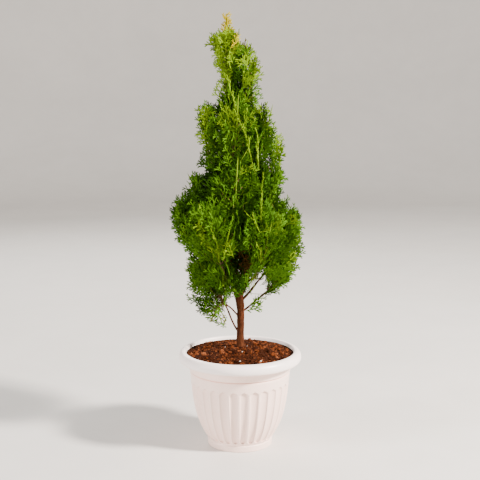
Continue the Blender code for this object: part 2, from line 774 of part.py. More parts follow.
def main():
    """Build the pot, the soil, the trunk, the boughs and the masses of foliage."""
    clear_scene()
    plant = new_collection("potted_thuja")
    cutters = new_collection("cutters", hidden=True)
    plastic = new_material("white_plastic", (0.86, 0.86, 0.87), 0.38)
    earth = new_material("brown_soil", (0.115, 0.052, 0.028), 0.95)
    bark = new_material("brown_bark", (0.180, 0.095, 0.055), 0.85)
    needles = new_material("green_scale_leaves", (0.075, 0.170, 0.016), 0.62)

    pot = make_pot(plant, plastic)
    soil = make_soil(plant, earth)
    trunk = make_trunk(plant, bark)
    clearance = make_trunk_clearance(cutters)
    limbs = [(trunk_route(), trunk_radii())]
    boughs = {bough.name: bough for bough in BOUGHS}
    for bough in BOUGHS:
        points = bough_route(bough)
        limbs.append((points, even_radii(bough.foot_radius, bough.tip_radius, len(points))))
        smooth(make_bough(bough, clearance, plant, bark))
    space = CrownSpace([stem_route(mass, boughs) for mass in MASSES], limbs)
    for owner, mass in enumerate(MASSES):
        make_mass(mass, owner, boughs, space, clearance, plant, needles)
    for obj in (pot, soil, trunk):
        smooth(obj)


if __name__ == "__main__":
    main()
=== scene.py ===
"""Potted thuja: the looks of a young upright thuja in a fluted plastic pot.

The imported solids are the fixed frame. Every node is replaced by a finer piece in the same place: the pot
with its cut flutes, the crumbly soil, the trunk and boughs with stringy bark, and each mass of foliage, grown
again by the source's rule and carried on to fronds of scale-leaved cords. Metres, +Z up. Headings are degrees
seen from above: 0 is to the right (+X), 90 the back, 180 the left and 270 the front.
"""

import logging
import math
import random
from collections.abc import Callable, Iterable, Sequence
from dataclasses import dataclass, field, replace
from enum import Enum
from functools import cache

import bmesh
import bpy
import numpy as np
from mathutils import Matrix, Quaternion, Vector, noise
from mathutils.geometry import interpolate_bezier


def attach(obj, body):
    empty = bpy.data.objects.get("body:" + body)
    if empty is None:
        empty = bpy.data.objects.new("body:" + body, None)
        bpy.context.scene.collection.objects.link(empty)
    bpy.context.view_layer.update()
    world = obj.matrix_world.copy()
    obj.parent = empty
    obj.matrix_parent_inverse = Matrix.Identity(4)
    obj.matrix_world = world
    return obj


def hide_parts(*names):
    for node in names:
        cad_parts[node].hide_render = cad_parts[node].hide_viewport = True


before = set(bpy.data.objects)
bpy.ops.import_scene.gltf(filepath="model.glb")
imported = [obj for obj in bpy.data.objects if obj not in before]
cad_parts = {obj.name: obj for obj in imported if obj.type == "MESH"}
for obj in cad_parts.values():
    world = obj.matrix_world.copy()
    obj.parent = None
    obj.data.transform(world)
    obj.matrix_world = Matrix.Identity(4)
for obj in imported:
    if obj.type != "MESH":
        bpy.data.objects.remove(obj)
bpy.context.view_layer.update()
LOG = logging.getLogger("potted_thuja")

Triple = tuple[float, float, float]
Profile = list[tuple[float, float]]
Line = Sequence[Vector]
Shape = bmesh.types.BMesh
Socket = bpy.types.NodeSocket
GOLDEN_ANGLE = math.radians(137.5)
BODY = "root"
# The mesh attribute that carries the pot's painted shade in its flutes and under the band.
GROOVE_SHADE_ATTRIBUTE = "groove_depth"
ROUTE_PULL = 0.36
UP = Vector((0.0, 0.0, 1.0))


class Slot(Enum):
    """The record's material slots."""

    PLASTIC = "white_plastic"
    SOIL = "brown_soil"
    BARK = "brown_bark"
    LEAVES = "green_scale_leaves"


class Tint(Enum):
    """Leaf colours from the shaded inside out to the golden tip, each with its dark and pale tone."""

    SHADE = ((0.006, 0.021, 0.0010), (0.014, 0.042, 0.0020))
    OLIVE = ((0.013, 0.043, 0.0010), (0.027, 0.075, 0.0020))
    GREEN = ((0.022, 0.067, 0.0012), (0.043, 0.114, 0.0024))
    FRESH = ((0.039, 0.107, 0.0014), (0.075, 0.172, 0.0028))
    LIME = ((0.098, 0.182, 0.0020), (0.165, 0.270, 0.0040))
    GOLD = ((0.230, 0.195, 0.0030), (0.380, 0.290, 0.0060))
    RUSSET = ((0.060, 0.031, 0.0050), (0.130, 0.068, 0.0120))

    @property
    def index(self) -> int:
        """Return its place among the materials of a mass."""
        return list(Tint).index(self)


# ---------------------------------------------------------------- shader groups and finishes


@dataclass
class Wiring:
    """The nodes of a material or a group, each made, set and linked in one call."""

    tree: bpy.types.NodeTree

    def feed(self, node: bpy.types.Node, given: dict[str | int, object]) -> None:
        """Fill a node's inputs: another node's output is linked, and a plain value is set."""
        for name, value in given.items():
            if isinstance(value, Socket):
                self.tree.links.new(value, node.inputs[name])
            else:
                node.inputs[name].default_value = value

    def add(self, kind: str, given: dict[str | int, object] | None = None,
            **settings: object) -> Sequence[Socket]:
        """Make a node.

        Args:
            kind: Its type.
            given: What its inputs get.
            settings: Its own settings.

        Returns:
            Its outputs.
        """
        node = self.tree.nodes.new(kind)
        for name, value in settings.items():
            setattr(node, name, value)
        self.feed(node, given or {})
        return node.outputs

    def blend(self, share: Socket, under: Socket, over: Socket | tuple[float, ...]) -> Socket:
        """Return a colour with another laid over it by a share."""
        return self.add("ShaderNodeMix", {"Factor": share, 6: under, 7: over}, data_type="RGBA")[2]


def new_group(name: str, inputs: dict[str, str], outputs: dict[str, str]) -> Wiring:
    """Make an empty node group from the names and kinds of its sockets."""
    group = bpy.data.node_groups.new(name, "ShaderNodeTree")
    for side, sockets in (("INPUT", inputs), ("OUTPUT", outputs)):
        for socket, kind in sockets.items():
            group.interface.new_socket(socket, in_out=side, socket_type=f"NodeSocket{kind}")
    return Wiring(group)


@cache
def mottle_group() -> bpy.types.NodeTree:
    """Build the shared mottling once: two scales of noise give a colour, a roughness and a relief."""
    wiring = new_group("mottle", {"Scale": "Float", "Stretch": "Float", "Dark": "Color", "Pale": "Color",
                                  "Smooth": "Float", "Rough": "Float"},
                       {"Colour": "Color", "Roughness": "Float", "Height": "Float"})
    given = wiring.add("NodeGroupInput")
    along = wiring.add("ShaderNodeCombineXYZ", {"X": 1.0, "Y": 1.0, "Z": given["Stretch"]})[0]
    place = wiring.add("ShaderNodeTexCoord")["Object"]
    mapped = wiring.add("ShaderNodeMapping", {"Vector": place, "Scale": along})[0]
    finer = wiring.add("ShaderNodeMath", {0: given["Scale"], 1: 4.3}, operation="MULTIPLY")[0]
    coarse, fine = (wiring.add("ShaderNodeTexNoise", {"Vector": mapped, "Scale": scale, "Detail": 4.0})["Fac"]
                    for scale in (given["Scale"], finer))
    both = wiring.add("ShaderNodeMix", {"Factor": 0.4, "A": coarse, "B": fine})["Result"]
    spread = wiring.add("ShaderNodeMapRange", {"Value": both, "From Min": 0.36, "From Max": 0.64})["Result"]
    gloss = wiring.add("ShaderNodeMapRange", {"Value": fine, "From Min": 0.3, "From Max": 0.7,
                                              "To Min": given["Smooth"], "To Max": given["Rough"]})["Result"]
    colour = wiring.blend(spread, given["Dark"], given["Pale"])
    wiring.add("NodeGroupOutput", {"Colour": colour, "Roughness": gloss, "Height": both})
    return wiring.tree


@cache
def fade_group() -> bpy.types.NodeTree:
    """Build the shared fade once: a mask from 0 to 1 between two heights, broken up by noise."""
    wiring = new_group("height_fade", {"From": "Float", "To": "Float", "Ragged": "Float"}, {"Mask": "Float"})
    given = wiring.add("NodeGroupInput")
    place = wiring.add("ShaderNodeTexCoord")["Object"]
    height = wiring.add("ShaderNodeSeparateXYZ", {"Vector": place})["Z"]
    ragged = wiring.add("ShaderNodeTexNoise", {"Vector": place, "Scale": 60.0})["Fac"]
    sway = wiring.add("ShaderNodeMath", {0: ragged, 1: given["Ragged"], 2: height},
                      operation="MULTIPLY_ADD")[0]
    span = {"Value": sway, "From Min": given["From"], "From Max": given["To"]}
    fade = wiring.add("ShaderNodeMapRange", span, interpolation_type="SMOOTHSTEP")
    wiring.add("NodeGroupOutput", {"Mask": fade["Result"]})
    return wiring.tree


@dataclass(frozen=True)
class Finish:
    """A finish whose colour, roughness and relief are mottled over the surface."""

    name: str
    dark: Triple
    pale: Triple
    scale: float
    stretch: float = 1.0
    smooth: float = 0.6
    rough: float = 0.8
    relief: float = 0.0002
    specular: float = 0.5

    @cache
    def material(self) -> bpy.types.Material:
        """Build the material on the first call, and return it."""
        material = bpy.data.materials.new(self.name)
        material.use_nodes = True
        wiring = Wiring(material.node_tree)
        mottle = wiring.add("ShaderNodeGroup", {
            "Scale": self.scale, "Stretch": self.stretch, "Dark": (*self.dark, 1.0),
            "Pale": (*self.pale, 1.0), "Smooth": self.smooth, "Rough": self.rough}, node_tree=mottle_group())
        bump = wiring.add("ShaderNodeBump", {"Height": mottle["Height"], "Distance": self.relief})
        wiring.feed(material.node_tree.nodes["Principled BSDF"], {
            "Base Color": self.laid_over(wiring, mottle["Colour"]), "Roughness": mottle["Roughness"],
            "Specular IOR Level": self.specular, "Normal": bump["Normal"]})
        return material

    def laid_over(self, wiring: Wiring, under: Socket) -> Socket:
        """Return the mottled colour with what lies over it: nothing, on a plain finish."""
        return under


@dataclass(frozen=True)
class PlasticFinish(Finish):
    """Moulded plastic: a painted highlight paler and cooler on the rim, painted shade in its grooves, and
    browner towards the foot.
    """

    # rim: painted highlight, a paler, cooler white for the light the rolled rim catches on top.
    rim: Triple = (0.93, 0.85, 0.83)
    # foot_tint: laid on up to a sixth, more strongly towards the bottom, with ragged edges.
    foot_tint: Triple = (0.55, 0.40, 0.30)
    # groove: the colour of the painted shade in the flutes and under the band, pink for the red ground's
    # bounce.
    groove: Triple = (0.78, 0.46, 0.36)

    def laid_over(self, wiring: Wiring, under: Socket) -> Socket:
        """Lay the rim's painted highlight, the browner tint towards the foot and the grooves' painted shade
        over the mottling.

        Args:
            wiring: The material's nodes.
            under: The mottled colour.

        Returns:
            The colour with all three over it.
        """
        # First the rim's painted highlight, then the browner tint towards the foot.
        for colour, start, end, ragged, most in (
            (self.rim, 0.1390, 0.1460, 0.0, 1.0),
            (self.foot_tint, 0.0400, -0.0050, 0.030, 0.16),
        ):
            fade = wiring.add("ShaderNodeGroup", {"From": start, "To": end, "Ragged": ragged},
                              node_tree=fade_group())
            share = wiring.add("ShaderNodeMath", {0: fade["Mask"], 1: most}, operation="MULTIPLY")[0]
            under = wiring.blend(share, under, (*colour, 1.0))
        # Painted shade: the attribute tells how much the flutes and the groove under the band are darkened.
        depth = wiring.add("ShaderNodeAttribute", attribute_name=GROOVE_SHADE_ATTRIBUTE)["Fac"]
        return wiring.blend(depth, under, (*self.groove, 1.0))


# The pot is white plastic: the pink in these colours is painted light, the warm glow bounced up from red
# earth.
PLASTIC = PlasticFinish("white_pot_plastic", (0.94, 0.715, 0.640), (0.97, 0.755, 0.680), 55.0, 1.0, 0.30,
                        0.42, 0.00004)
BARK = Finish("stringy_bark", (0.016, 0.005, 0.0022), (0.098, 0.031, 0.012), 420.0, 0.16, 0.75, 0.95, 0.0005,
              0.06)
TWIG = Finish("brown_twig", (0.070, 0.040, 0.016), (0.170, 0.100, 0.040), 500.0, 0.3, 0.65, 0.90, 0.0002, 0.3)
SPINE = Finish("green_twig", (0.095, 0.165, 0.005), (0.180, 0.280, 0.010), 500.0, 0.4, 0.65, 0.85, 0.0001,
               0.1)
FLOOR = Finish("pale_floor", (0.640, 0.630, 0.615), (0.680, 0.670, 0.655), 3.0, 1.0, 0.80, 0.95, 0.0002, 0.2)
SOILS = (
    Finish("damp_soil", (0.010, 0.003, 0.001), (0.045, 0.012, 0.004), 330.0, 1.0, 0.80, 1.0, 0.0006, 0.05),
    Finish("brown_clod", (0.040, 0.010, 0.0025), (0.150, 0.039, 0.011), 420.0, 1.0, 0.85, 1.0, 0.0005, 0.05),
    Finish("dry_clod", (0.100, 0.028, 0.009), (0.240, 0.078, 0.030), 420.0, 1.0, 0.85, 1.0, 0.0005, 0.05),
    Finish("pale_grit", (0.420, 0.330, 0.270), (0.720, 0.640, 0.580), 600.0, 1.0, 0.70, 0.95, 0.0003, 0.3),
)
LEAVES = tuple(Finish(f"leaf_{tint.name.lower()}", *tint.value, 260.0,
                      rough=0.85 if tint is Tint.RUSSET else 0.80, specular=0.07) for tint in Tint)


# ---------------------------------------------------------------- making pieces


def placed(name: str, data: bpy.types.ID) -> bpy.types.Object:
    """Put a new object with this mesh, light or camera into the scene."""
    item = bpy.data.objects.new(name, data)
    bpy.context.scene.collection.objects.link(item)
    return item


def finished(name: str, mesh: bpy.types.Mesh, finishes: Iterable[Finish], nodes: Iterable[str],
             smooth: bool = True) -> None:
    """Put a mesh into the scene as a piece of the plant.

    Args:
        name: The piece's name.
        mesh: Its mesh, in place.
        finishes: One finish per material index.
        nodes: The solids it stands for.
        smooth: Whether its faces are shaded smooth.
    """
    mesh.name = name
    for finish in finishes:
        mesh.materials.append(finish.material())
    mesh.polygons.foreach_set("use_smooth", [smooth] * len(mesh.polygons))
    piece = placed(name, mesh)
    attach(piece, BODY)
    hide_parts(*nodes)
    mesh.calc_loop_triangles()
    LOG.info("%s: %d triangles", name, len(mesh.loop_triangles))


def mesh_of(shape: Shape) -> bpy.types.Mesh:
    """Turn a bmesh into a mesh and free it."""
    mesh = bpy.data.meshes.new("shape")
    shape.to_mesh(mesh)
    shape.free()
    return mesh


def rows(points: Iterable[Vector]) -> np.ndarray:
    """Return places as the rows of an array."""
    return np.array([tuple(point) for point in points])


def turned(profile: Profile, steps: int, sectors: int) -> Shape:
    """Spin a profile of (radius, height) points round the Z axis: one sector first, then its copies.

    Args:
        profile: The section, from the axis back to the axis.
        steps: How many steps one sector has.
        sectors: How many sectors go round.

    Returns:
        The closed shape, its faces outwards.
    """
    shape = bmesh.new()
    points = [shape.verts.new((radius, 0.0, height)) for radius, height in profile]
    edges = [shape.edges.new(pair) for pair in zip(points, points[1:])]
    bmesh.ops.spin(shape, geom=points + edges, cent=(0, 0, 0), axis=UP, dvec=(0, 0, 0),
                   angle=math.tau / sectors, steps=steps, use_merge=False)
    sector = bpy.data.meshes.new("sector")
    shape.to_mesh(sector)
    shape.clear()
    for _ in range(sectors):
        sector.transform(Matrix.Rotation(math.tau / sectors, 4, "Z"))
        shape.from_mesh(sector)
    bpy.data.meshes.remove(sector)
    bmesh.ops.remove_doubles(shape, verts=shape.verts, dist=2e-6)
    bmesh.ops.recalc_face_normals(shape, faces=shape.faces)
    return shape


def loft(points: Line, radii: Iterable[float], sides: int) -> Shape:
    """Draw a ring out along a line into a tapering tube with closed ends.

    Args:
        points: The tube's middle line.
        radii: The radius at each point.
        sides: How many sides the tube has.

    Returns:
        The tube.
    """
    shape = bmesh.new()
    ways = [(after - before).normalized() for before, after in zip(points, points[1:])]
    ways = [ways[0], *((one + two).normalized() for one, two in zip(ways, ways[1:])), ways[-1]]
    frames = [Matrix.Translation(point) @ UP.rotation_difference(way).to_matrix().to_4x4()
              @ Matrix.Diagonal((radius, radius, radius, 1.0))
              for point, way, radius in zip(points, ways, radii)]
    ring = bmesh.ops.create_circle(shape, cap_ends=False, segments=sides, radius=1.0, matrix=frames[0])
    first = last = list({edge for vertex in ring["verts"] for edge in vertex.link_edges})
    for before, after in zip(frames, frames[1:]):
        made = bmesh.ops.extrude_edge_only(shape, edges=last)["geom"]
        fresh = [item for item in made if isinstance(item, bmesh.types.BMVert)]
        last = [item for item in made if isinstance(item, bmesh.types.BMEdge)]
        bmesh.ops.transform(shape, matrix=after @ before.inverted(), verts=fresh)
    for end in (first, last):
        bmesh.ops.contextual_create(shape, geom=end)
    return shape


def tube(points: Line, radii: Iterable[float], sides: int) -> tuple[np.ndarray, np.ndarray]:
    """Lay out a thin twig: rings along a line, closed to a point at both ends.

    Args:
        points: The twig's middle line.
        radii: The radius at each point but the two ends.
        sides: How many sides it has.

    Returns:
        Its places and its triangles.
    """
    turns = np.arange(sides) * math.tau / sides
    circle = np.stack((np.cos(turns), np.sin(turns), np.zeros(sides)), axis=1)
    rings = [rows(points[:1])]
    for before, at, after, radius in zip(points, points[1:], points[2:], radii):
        turning = np.array(UP.rotation_difference((after - before).normalized()).to_matrix())
        rings.append(radius * circle @ turning.T + np.array(at))
    rings.append(rows(points[-1:]))
    triangles = []
    top = 1 + sides * (len(points) - 2)
    for side in range(sides):
        one, two = side, (side + 1) % sides
        triangles.append((0, 1 + two, 1 + one))
        for low in range(1, top - sides, sides):
            high = low + sides
            triangles += [(low + one, low + two, high + two), (low + one, high + two, high + one)]
        triangles.append((top - sides + one, top - sides + two, top))
    return np.concatenate(rings), np.array(triangles)


@dataclass
class Batch:
    """Many small copies of a few templates, joined into one mesh through arrays."""

    points: list[np.ndarray] = field(default_factory=list)
    triangles: list[np.ndarray] = field(default_factory=list)
    indices: list[np.ndarray] = field(default_factory=list)
    count: int = 0

    def add(self, points: np.ndarray, triangles: np.ndarray, indices: np.ndarray) -> None:
        """Add copies of one template.

        Args:
            points: (copies, vertices, 3) places.
            triangles: (faces, 3) vertex numbers of the template.
            indices: (copies, faces) material indices.
        """
        copies, size = points.shape[:2]
        starts = self.count + size * np.arange(copies)
        self.points.append(points.reshape(-1, 3))
        self.triangles.append((triangles[None] + starts[:, None, None]).reshape(-1, 3))
        self.indices.append(indices.reshape(-1))
        self.count += copies * size

    def mesh(self) -> bpy.types.Mesh:
        """Return everything added so far as one mesh."""
        points, triangles = np.concatenate(self.points), np.concatenate(self.triangles)
        mesh = bpy.data.meshes.new("batch")
        mesh.vertices.add(len(points))
        mesh.vertices.foreach_set("co", points.astype(np.float32).ravel())
        mesh.loops.add(triangles.size)
        mesh.loops.foreach_set("vertex_index", triangles.astype(np.int32).ravel())
        mesh.polygons.add(len(triangles))
        mesh.polygons.foreach_set("loop_start", np.arange(0, triangles.size, 3, dtype=np.int32))
        mesh.polygons.foreach_set("material_index", np.concatenate(self.indices).astype(np.int32))
        mesh.update(calc_edges=True)
        return mesh


# ---------------------------------------------------------------- the pot and its soil


@dataclass
class FlutedPot:
    """A thin-walled pot: rolled rim, plain band, a ring of flutes and a plain foot."""

    height: float = 0.1585
    rim_radius: float = 0.1010
    rim_widest_height: float = 0.1480
    rim_crest_radius: float = 0.0925
    rim_lower: tuple[float, float] = (0.0975, 0.1415)
    lip_radius: float = 0.0896
    wall: float = 0.0028
    floor: float = 0.0040
    band_radius: float = 0.0838
    band_top: float = 0.1425
    band_foot: float = 0.1265
    body_radius: float = 0.0828
    body_top: float = 0.1255
    step_groove: float = 0.0017
    taper: float = 0.0104
    belly: float = 0.0194
    belly_power: float = 3.7
    waist_height: float = 0.0110
    foot_radius: float = 0.0537
    flutes: int = 30
    flute_depth: float = 0.0027
    flute_top: float = 0.1085
    flute_foot: float = 0.0150
    flute_end: float = 0.0070
    flute_share: float = 0.86
    flute_turn: float = math.radians(-1.2)
    steps_a_flute: int = 16
    # How strongly painted shade darkens the flutes and the groove under the band.
    flute_shade: float = 0.16
    step_shade: float = 0.75
    drain_holes: int = 4
    drain_radius: float = 0.0045
    drain_circle: float = 0.0340
    drain_rows: tuple[float, ...] = (0.006, 0.0032, 0.0, -0.0032, -0.006)
    drain_turn: float = math.radians(4.0)

    def side_radius(self, height: float) -> float:
        """Return the outer radius of the side at a height."""
        share = (self.body_top - height) / (self.body_top - self.waist_height)
        return self.body_radius - self.taper * share - self.belly * max(share, 0.0) ** self.belly_power

    def inner_wall(self) -> Profile:
        """Return the inside of the pot, from the edge of its floor up to the lip."""
        heights = np.linspace(0.012, self.body_top, 14)
        side = [(self.side_radius(height) - self.wall, float(height)) for height in heights]
        flare = [(self.band_radius - self.wall, self.band_top + self.wall),
                 (self.lip_radius - 0.0009, 0.1520)]
        return [(side[0][0] - 0.004, self.floor), (side[0][0] - 0.0015, self.floor + 0.003), *side, *flare]

    def rim(self) -> Profile:
        """Return the rolled rim, from the lip over the crest and down to the hollow under it."""
        lip = [(self.lip_radius - 0.0004, self.height - 0.0040), (self.lip_radius, self.height - 0.0012),
               (self.lip_radius + 0.0008, self.height - 0.0003)]
        reach = (self.rim_radius - self.rim_crest_radius, self.height - self.rim_widest_height)
        crest = [(self.rim_crest_radius + reach[0] * math.sin(turn),
                  self.rim_widest_height + reach[1] * math.cos(turn))
                 for turn in np.linspace(0.0, math.pi / 2, 14)]
        drop = (self.rim_radius - self.rim_lower[0], self.rim_widest_height - self.rim_lower[1])
        under = [(self.rim_radius - drop[0] * (1 - math.cos(turn)),
                  self.rim_widest_height - drop[1] * math.sin(turn))
                 for turn in np.linspace(0.0, math.pi / 2, 8)[1:]]
        hollow = [(self.rim_lower[0] - 0.0015, self.rim_lower[1] + 0.0002),
                  (self.band_radius + 0.0040, self.band_top),
                  (self.band_radius + 0.0008, self.band_top - 0.0003),
                  (self.band_radius, self.band_top - 0.0014)]
        return [*lip, *crest, *under, *hollow]

    def profile(self) -> Profile:
        """Return the section, up the inside, over the rolled rim and down the outside to the axis."""
        drains = [self.drain_circle + row for row in self.drain_rows]
        inside = [(0.0, self.floor), *((radius, self.floor) for radius in reversed(drains)),
                  *self.inner_wall()]
        groove = self.body_radius - self.step_groove
        band = [(self.band_radius - 0.0003, self.band_foot + 0.0004),
                (self.band_radius - 0.0005, self.band_foot),
                (groove, self.body_top + 0.0005), (groove, self.body_top - 0.0005),
                (self.body_radius - 0.0004, self.body_top - 0.0013)]
        heights = [*np.linspace(self.body_top - 0.0018, self.flute_top + 0.0015, 5),
                   *np.linspace(self.flute_top, self.flute_top - self.flute_end, 16),
                   *np.linspace(self.flute_top - self.flute_end - 0.004,
                                self.flute_foot + self.flute_end + 0.003, 26),
                   *np.linspace(self.flute_foot + self.flute_end, self.flute_foot, 14),
                   self.flute_foot - 0.0015, self.waist_height]
        side = [(self.side_radius(height), float(height)) for height in heights]
        foot = [(self.foot_radius + 0.0002, 0.0092), (self.foot_radius, 0.0084), (self.foot_radius, 0.0010),
                (self.foot_radius - 0.0010, 0.0)]
        base = [(radius, 0.0) for radius in drains]
        return [*inside, *self.rim(), *band, *side, *foot, *base, (0.0, 0.0)]

    def flute_cut(self, angle: float, height: float) -> float:
        """Measure how deep the flutes cut; each is rounded off at both ends.

        Args:
            angle: The angle round the pot, from the middle of a flute.
            height: The height.

        Returns:
            The depth.
        """
        turn = (angle * self.flutes / math.tau + 0.5) % 1.0 - 0.5
        end = max(height - (self.flute_top - self.flute_end), self.flute_foot + self.flute_end - height, 0.0)
        narrow = 1.0 - min(end / self.flute_end, 1.0) ** 2
        if narrow <= 0.0:
            return 0.0
        across = abs(2.0 * turn) / (self.flute_share * math.sqrt(narrow))
        return self.flute_depth * max(1.0 - across * across, 0.0) ** 0.5

    def groove_shade_share(self, at: Vector) -> float:
        """Tell how much painted shade darkens a place: in the flutes and in the groove under the band.

        Args:
            at: A place on the finished pot.

        Returns:
            The share, from 0 to 1.
        """
        if at.xy.length < self.side_radius(at.z) - self.wall * 0.99 or at.z > self.band_top:
            return 0.0
        if abs(at.z - self.body_top) < 0.0008:
            return self.step_shade
        if not self.flute_foot < at.z < self.flute_top:
            return 0.0
        cut = self.flute_cut(math.atan2(at.y, at.x) - self.flute_turn, at.z) / self.flute_depth
        return self.flute_shade * min(1.0, 1.4 * cut)

    def cut_flutes(self, shape: Shape) -> None:
        """Press the flutes into the pot's side."""
        for vertex in shape.verts:
            radius, height = math.hypot(vertex.co.x, vertex.co.y), vertex.co.z
            outer = radius > self.side_radius(height) - self.wall / 2
            if outer and self.flute_foot < height < self.flute_top:
                cut = self.flute_cut(math.atan2(vertex.co.y, vertex.co.x), height)
                vertex.co.xy *= (radius - cut) / radius

    def open_drains(self, shape: Shape) -> None:
        """Cut the drain holes: a round patch goes on both sides of the floor and the edges are bridged."""
        for index in range(self.drain_holes):
            turn = math.tau * index / self.drain_holes + self.drain_turn
            middle = Vector((self.drain_circle * math.cos(turn), self.drain_circle * math.sin(turn)))
            patch = [face for face in shape.faces
                     if face.calc_center_median().z < self.floor + 0.0005 and abs(face.normal.z) > 0.9
                     and (face.calc_center_median().xy - middle).length < self.drain_radius + 0.0004
                     and all(abs(vertex.co.xy.length - self.drain_circle) < 0.0035 for vertex in face.verts)]
            bmesh.ops.delete(shape, geom=patch, context="FACES")
            rim = [edge for edge in shape.edges if edge.is_boundary]
            for vertex in {vertex for edge in rim for vertex in edge.verts}:
                vertex.co.xy = middle + (vertex.co.xy - middle).normalized() * self.drain_radius
            bmesh.ops.bridge_loops(shape, edges=rim)

    def build(self) -> None:
        """Build the pot and dress it in plastic."""
        shape = turned(self.profile(), self.steps_a_flute, self.flutes)
        self.cut_flutes(shape)
        self.open_drains(shape)
        bmesh.ops.rotate(shape, verts=shape.verts, cent=(0, 0, 0),
                         matrix=Matrix.Rotation(self.flute_turn, 3, "Z"))
        bmesh.ops.recalc_face_normals(shape, faces=shape.faces)
        mesh = mesh_of(shape)
        # Painted shade for the flutes and the step's groove, kept on the mesh for the material.
        groove_shades = [self.groove_shade_share(vertex.co) for vertex in mesh.vertices]
        mesh.attributes.new(GROOVE_SHADE_ATTRIBUTE, "FLOAT", "POINT").data.foreach_set("value", groove_shades)
        finished("fluted_pot", mesh, [PLASTIC], ["pot"])
        mesh.set_sharp_from_angle(angle=math.radians(38.0))


@dataclass
class PottingSoil:
    """The soil in the pot: a rough bed with clods and crumbs lying on it."""

    pot: FlutedPot
    edge_height: float = 0.1530
    crown_height: float = 0.1640
    seat_radius: float = 0.0130
    gap: float = 0.0003
    lump_span: float = 0.0135
    lump_rise: float = 0.0044
    lump_fade: float = 0.0090
    roughness: float = 0.0013
    kinds: int = 8
    clods: int = 340
    crumbs: int = 2600
    grit: int = 8
    damp_scale: float = 38.0
    damp_limit: float = 0.12
    damp_share: float = 0.8

    def top(self, x: float, y: float) -> float:
        """Measure how high the bed lies: the slope with the solid's broad lumps.

        Args:
            x: The place's distance to the right.
            y: Its distance to the back.

        Returns:
            The height.
        """
        radius, edge = math.hypot(x, y), self.pot.lip_radius - 0.0010
        heights = (self.crown_height, self.crown_height - 0.0045, self.edge_height + 0.0015, self.edge_height)
        slope = float(np.interp(radius, (self.seat_radius, 0.045, edge - 0.012, edge), heights))
        fade = min(radius - self.seat_radius, edge - radius, self.lump_fade) / self.lump_fade
        turn = -self.pot.flute_turn
        at = Vector((x * math.cos(turn) - y * math.sin(turn), x * math.sin(turn) + y * math.cos(turn), 0.0))
        return slope + self.lump_rise * max(fade, 0.0) * noise.noise(at / self.lump_span)

    def bed(self) -> None:
        """Build the rough bed, which follows the inside of the pot."""
        wall = [(radius - self.gap, height) for radius, height in self.pot.inner_wall()[2:]]
        edge = self.pot.lip_radius - 0.0012
        surface = [(float(radius), self.crown_height) for radius in np.linspace(0.0, edge, 56)]
        floor = [(wall[0][0] - 0.004, self.pot.floor + self.gap), (0.0, self.pot.floor + self.gap)]
        shape = turned([*surface, *wall[::-1], *floor], 8, 30)
        for vertex in shape.verts:
            radius = vertex.co.xy.length
            if vertex.co.z > self.crown_height - 1e-5:
                rough = noise.fractal(vertex.co * 190.0, 0.9, 2.1, 4, noise_basis="PERLIN_ORIGINAL")
                calm = min(1.0, max(0.0, (radius - 0.009) / 0.004), max(0.0, (edge - radius) / 0.001))
                vertex.co.z = self.top(*vertex.co.xy) + self.roughness * calm * (rough - 0.6)
        finished("soil_bed", mesh_of(shape), SOILS[:1], ["soil"])

    def lump(self, rng: random.Random, subdivisions: int) -> tuple[np.ndarray, np.ndarray]:
        """Shape one rough lump of unit size.

        Args:
            rng: The seeded random numbers.
            subdivisions: How finely the ball it starts from is divided.

        Returns:
            Its points and its triangles.
        """
        shape = bmesh.new()
        bmesh.ops.create_icosphere(shape, subdivisions=subdivisions, radius=1.0)
        shift = Vector([rng.uniform(-9, 9) for _ in range(3)])
        for vertex in shape.verts:
            vertex.co *= (1.0 + 0.55 * noise.noise(vertex.co * 1.3 + shift)
                          + 0.20 * noise.noise(vertex.co * 3.1 + shift))
        flattened = (rng.uniform(0.8, 1.2), rng.uniform(0.8, 1.2), rng.uniform(0.55, 0.85))
        bmesh.ops.scale(shape, verts=shape.verts, vec=flattened)
        triangles = np.array([[vertex.index for vertex in face.verts] for face in shape.faces])
        points = rows(vertex.co for vertex in shape.verts)
        shape.free()
        return points, triangles

    def scatter(self, batch: Batch, rng: random.Random, count: int, sizes: tuple[float, float], fineness: int,
                tints: Sequence[int]) -> None:
        """Scatter lumps over the bed.

        Args:
            batch: Where the lumps go.
            rng: The seeded random numbers.
            count: How many lumps.
            sizes: Their smallest and largest radius.
            fineness: How finely each is divided.
            tints: The material indices they are dealt, each as often as it stands here.
        """
        for _ in range(self.kinds):
            points, triangles = self.lump(rng, fineness)
            made, indices = [], []
            for _ in range(count // self.kinds):
                size = sizes[0] + (sizes[1] - sizes[0]) * rng.random() ** 2.2
                radius = math.sqrt(rng.uniform(0.0085**2, (self.pot.lip_radius - 0.0032 - size) ** 2))
                turn = rng.uniform(0.0, math.tau)
                x, y = radius * math.cos(turn), radius * math.sin(turn)
                sunk = self.top(x, y) + size * rng.uniform(-0.60, 0.10) - 0.0004
                spin = Quaternion([rng.gauss(0, 1) for _ in range(4)]).normalized().to_matrix()
                made.append(size * points @ np.array(spin).T + (x, y, sunk))
                damp = len(tints) > 1 and noise.noise(Vector((x, y, 1.0)) * self.damp_scale) > self.damp_limit
                tint = 0 if damp and rng.random() < self.damp_share else rng.choice(tints)
                indices.append(np.full(len(triangles), tint))
            batch.add(np.array(made), triangles, np.array(indices))

    def build(self) -> None:
        """Build the bed and everything that lies on it."""
        self.bed()
        rng = random.Random("soil")
        batch = Batch()
        self.scatter(batch, rng, self.clods, (0.0016, 0.0042), 2, (0, 1, 1, 1, 2))
        self.scatter(batch, rng, self.crumbs, (0.0006, 0.0017), 1, (0, 1, 1, 2))
        self.scatter(batch, rng, self.grit, (0.0009, 0.0020), 2, (3,))
        finished("soil_clods", batch.mesh(), SOILS, ["soil"], smooth=False)


# ---------------------------------------------------------------- limbs, by the source's rule


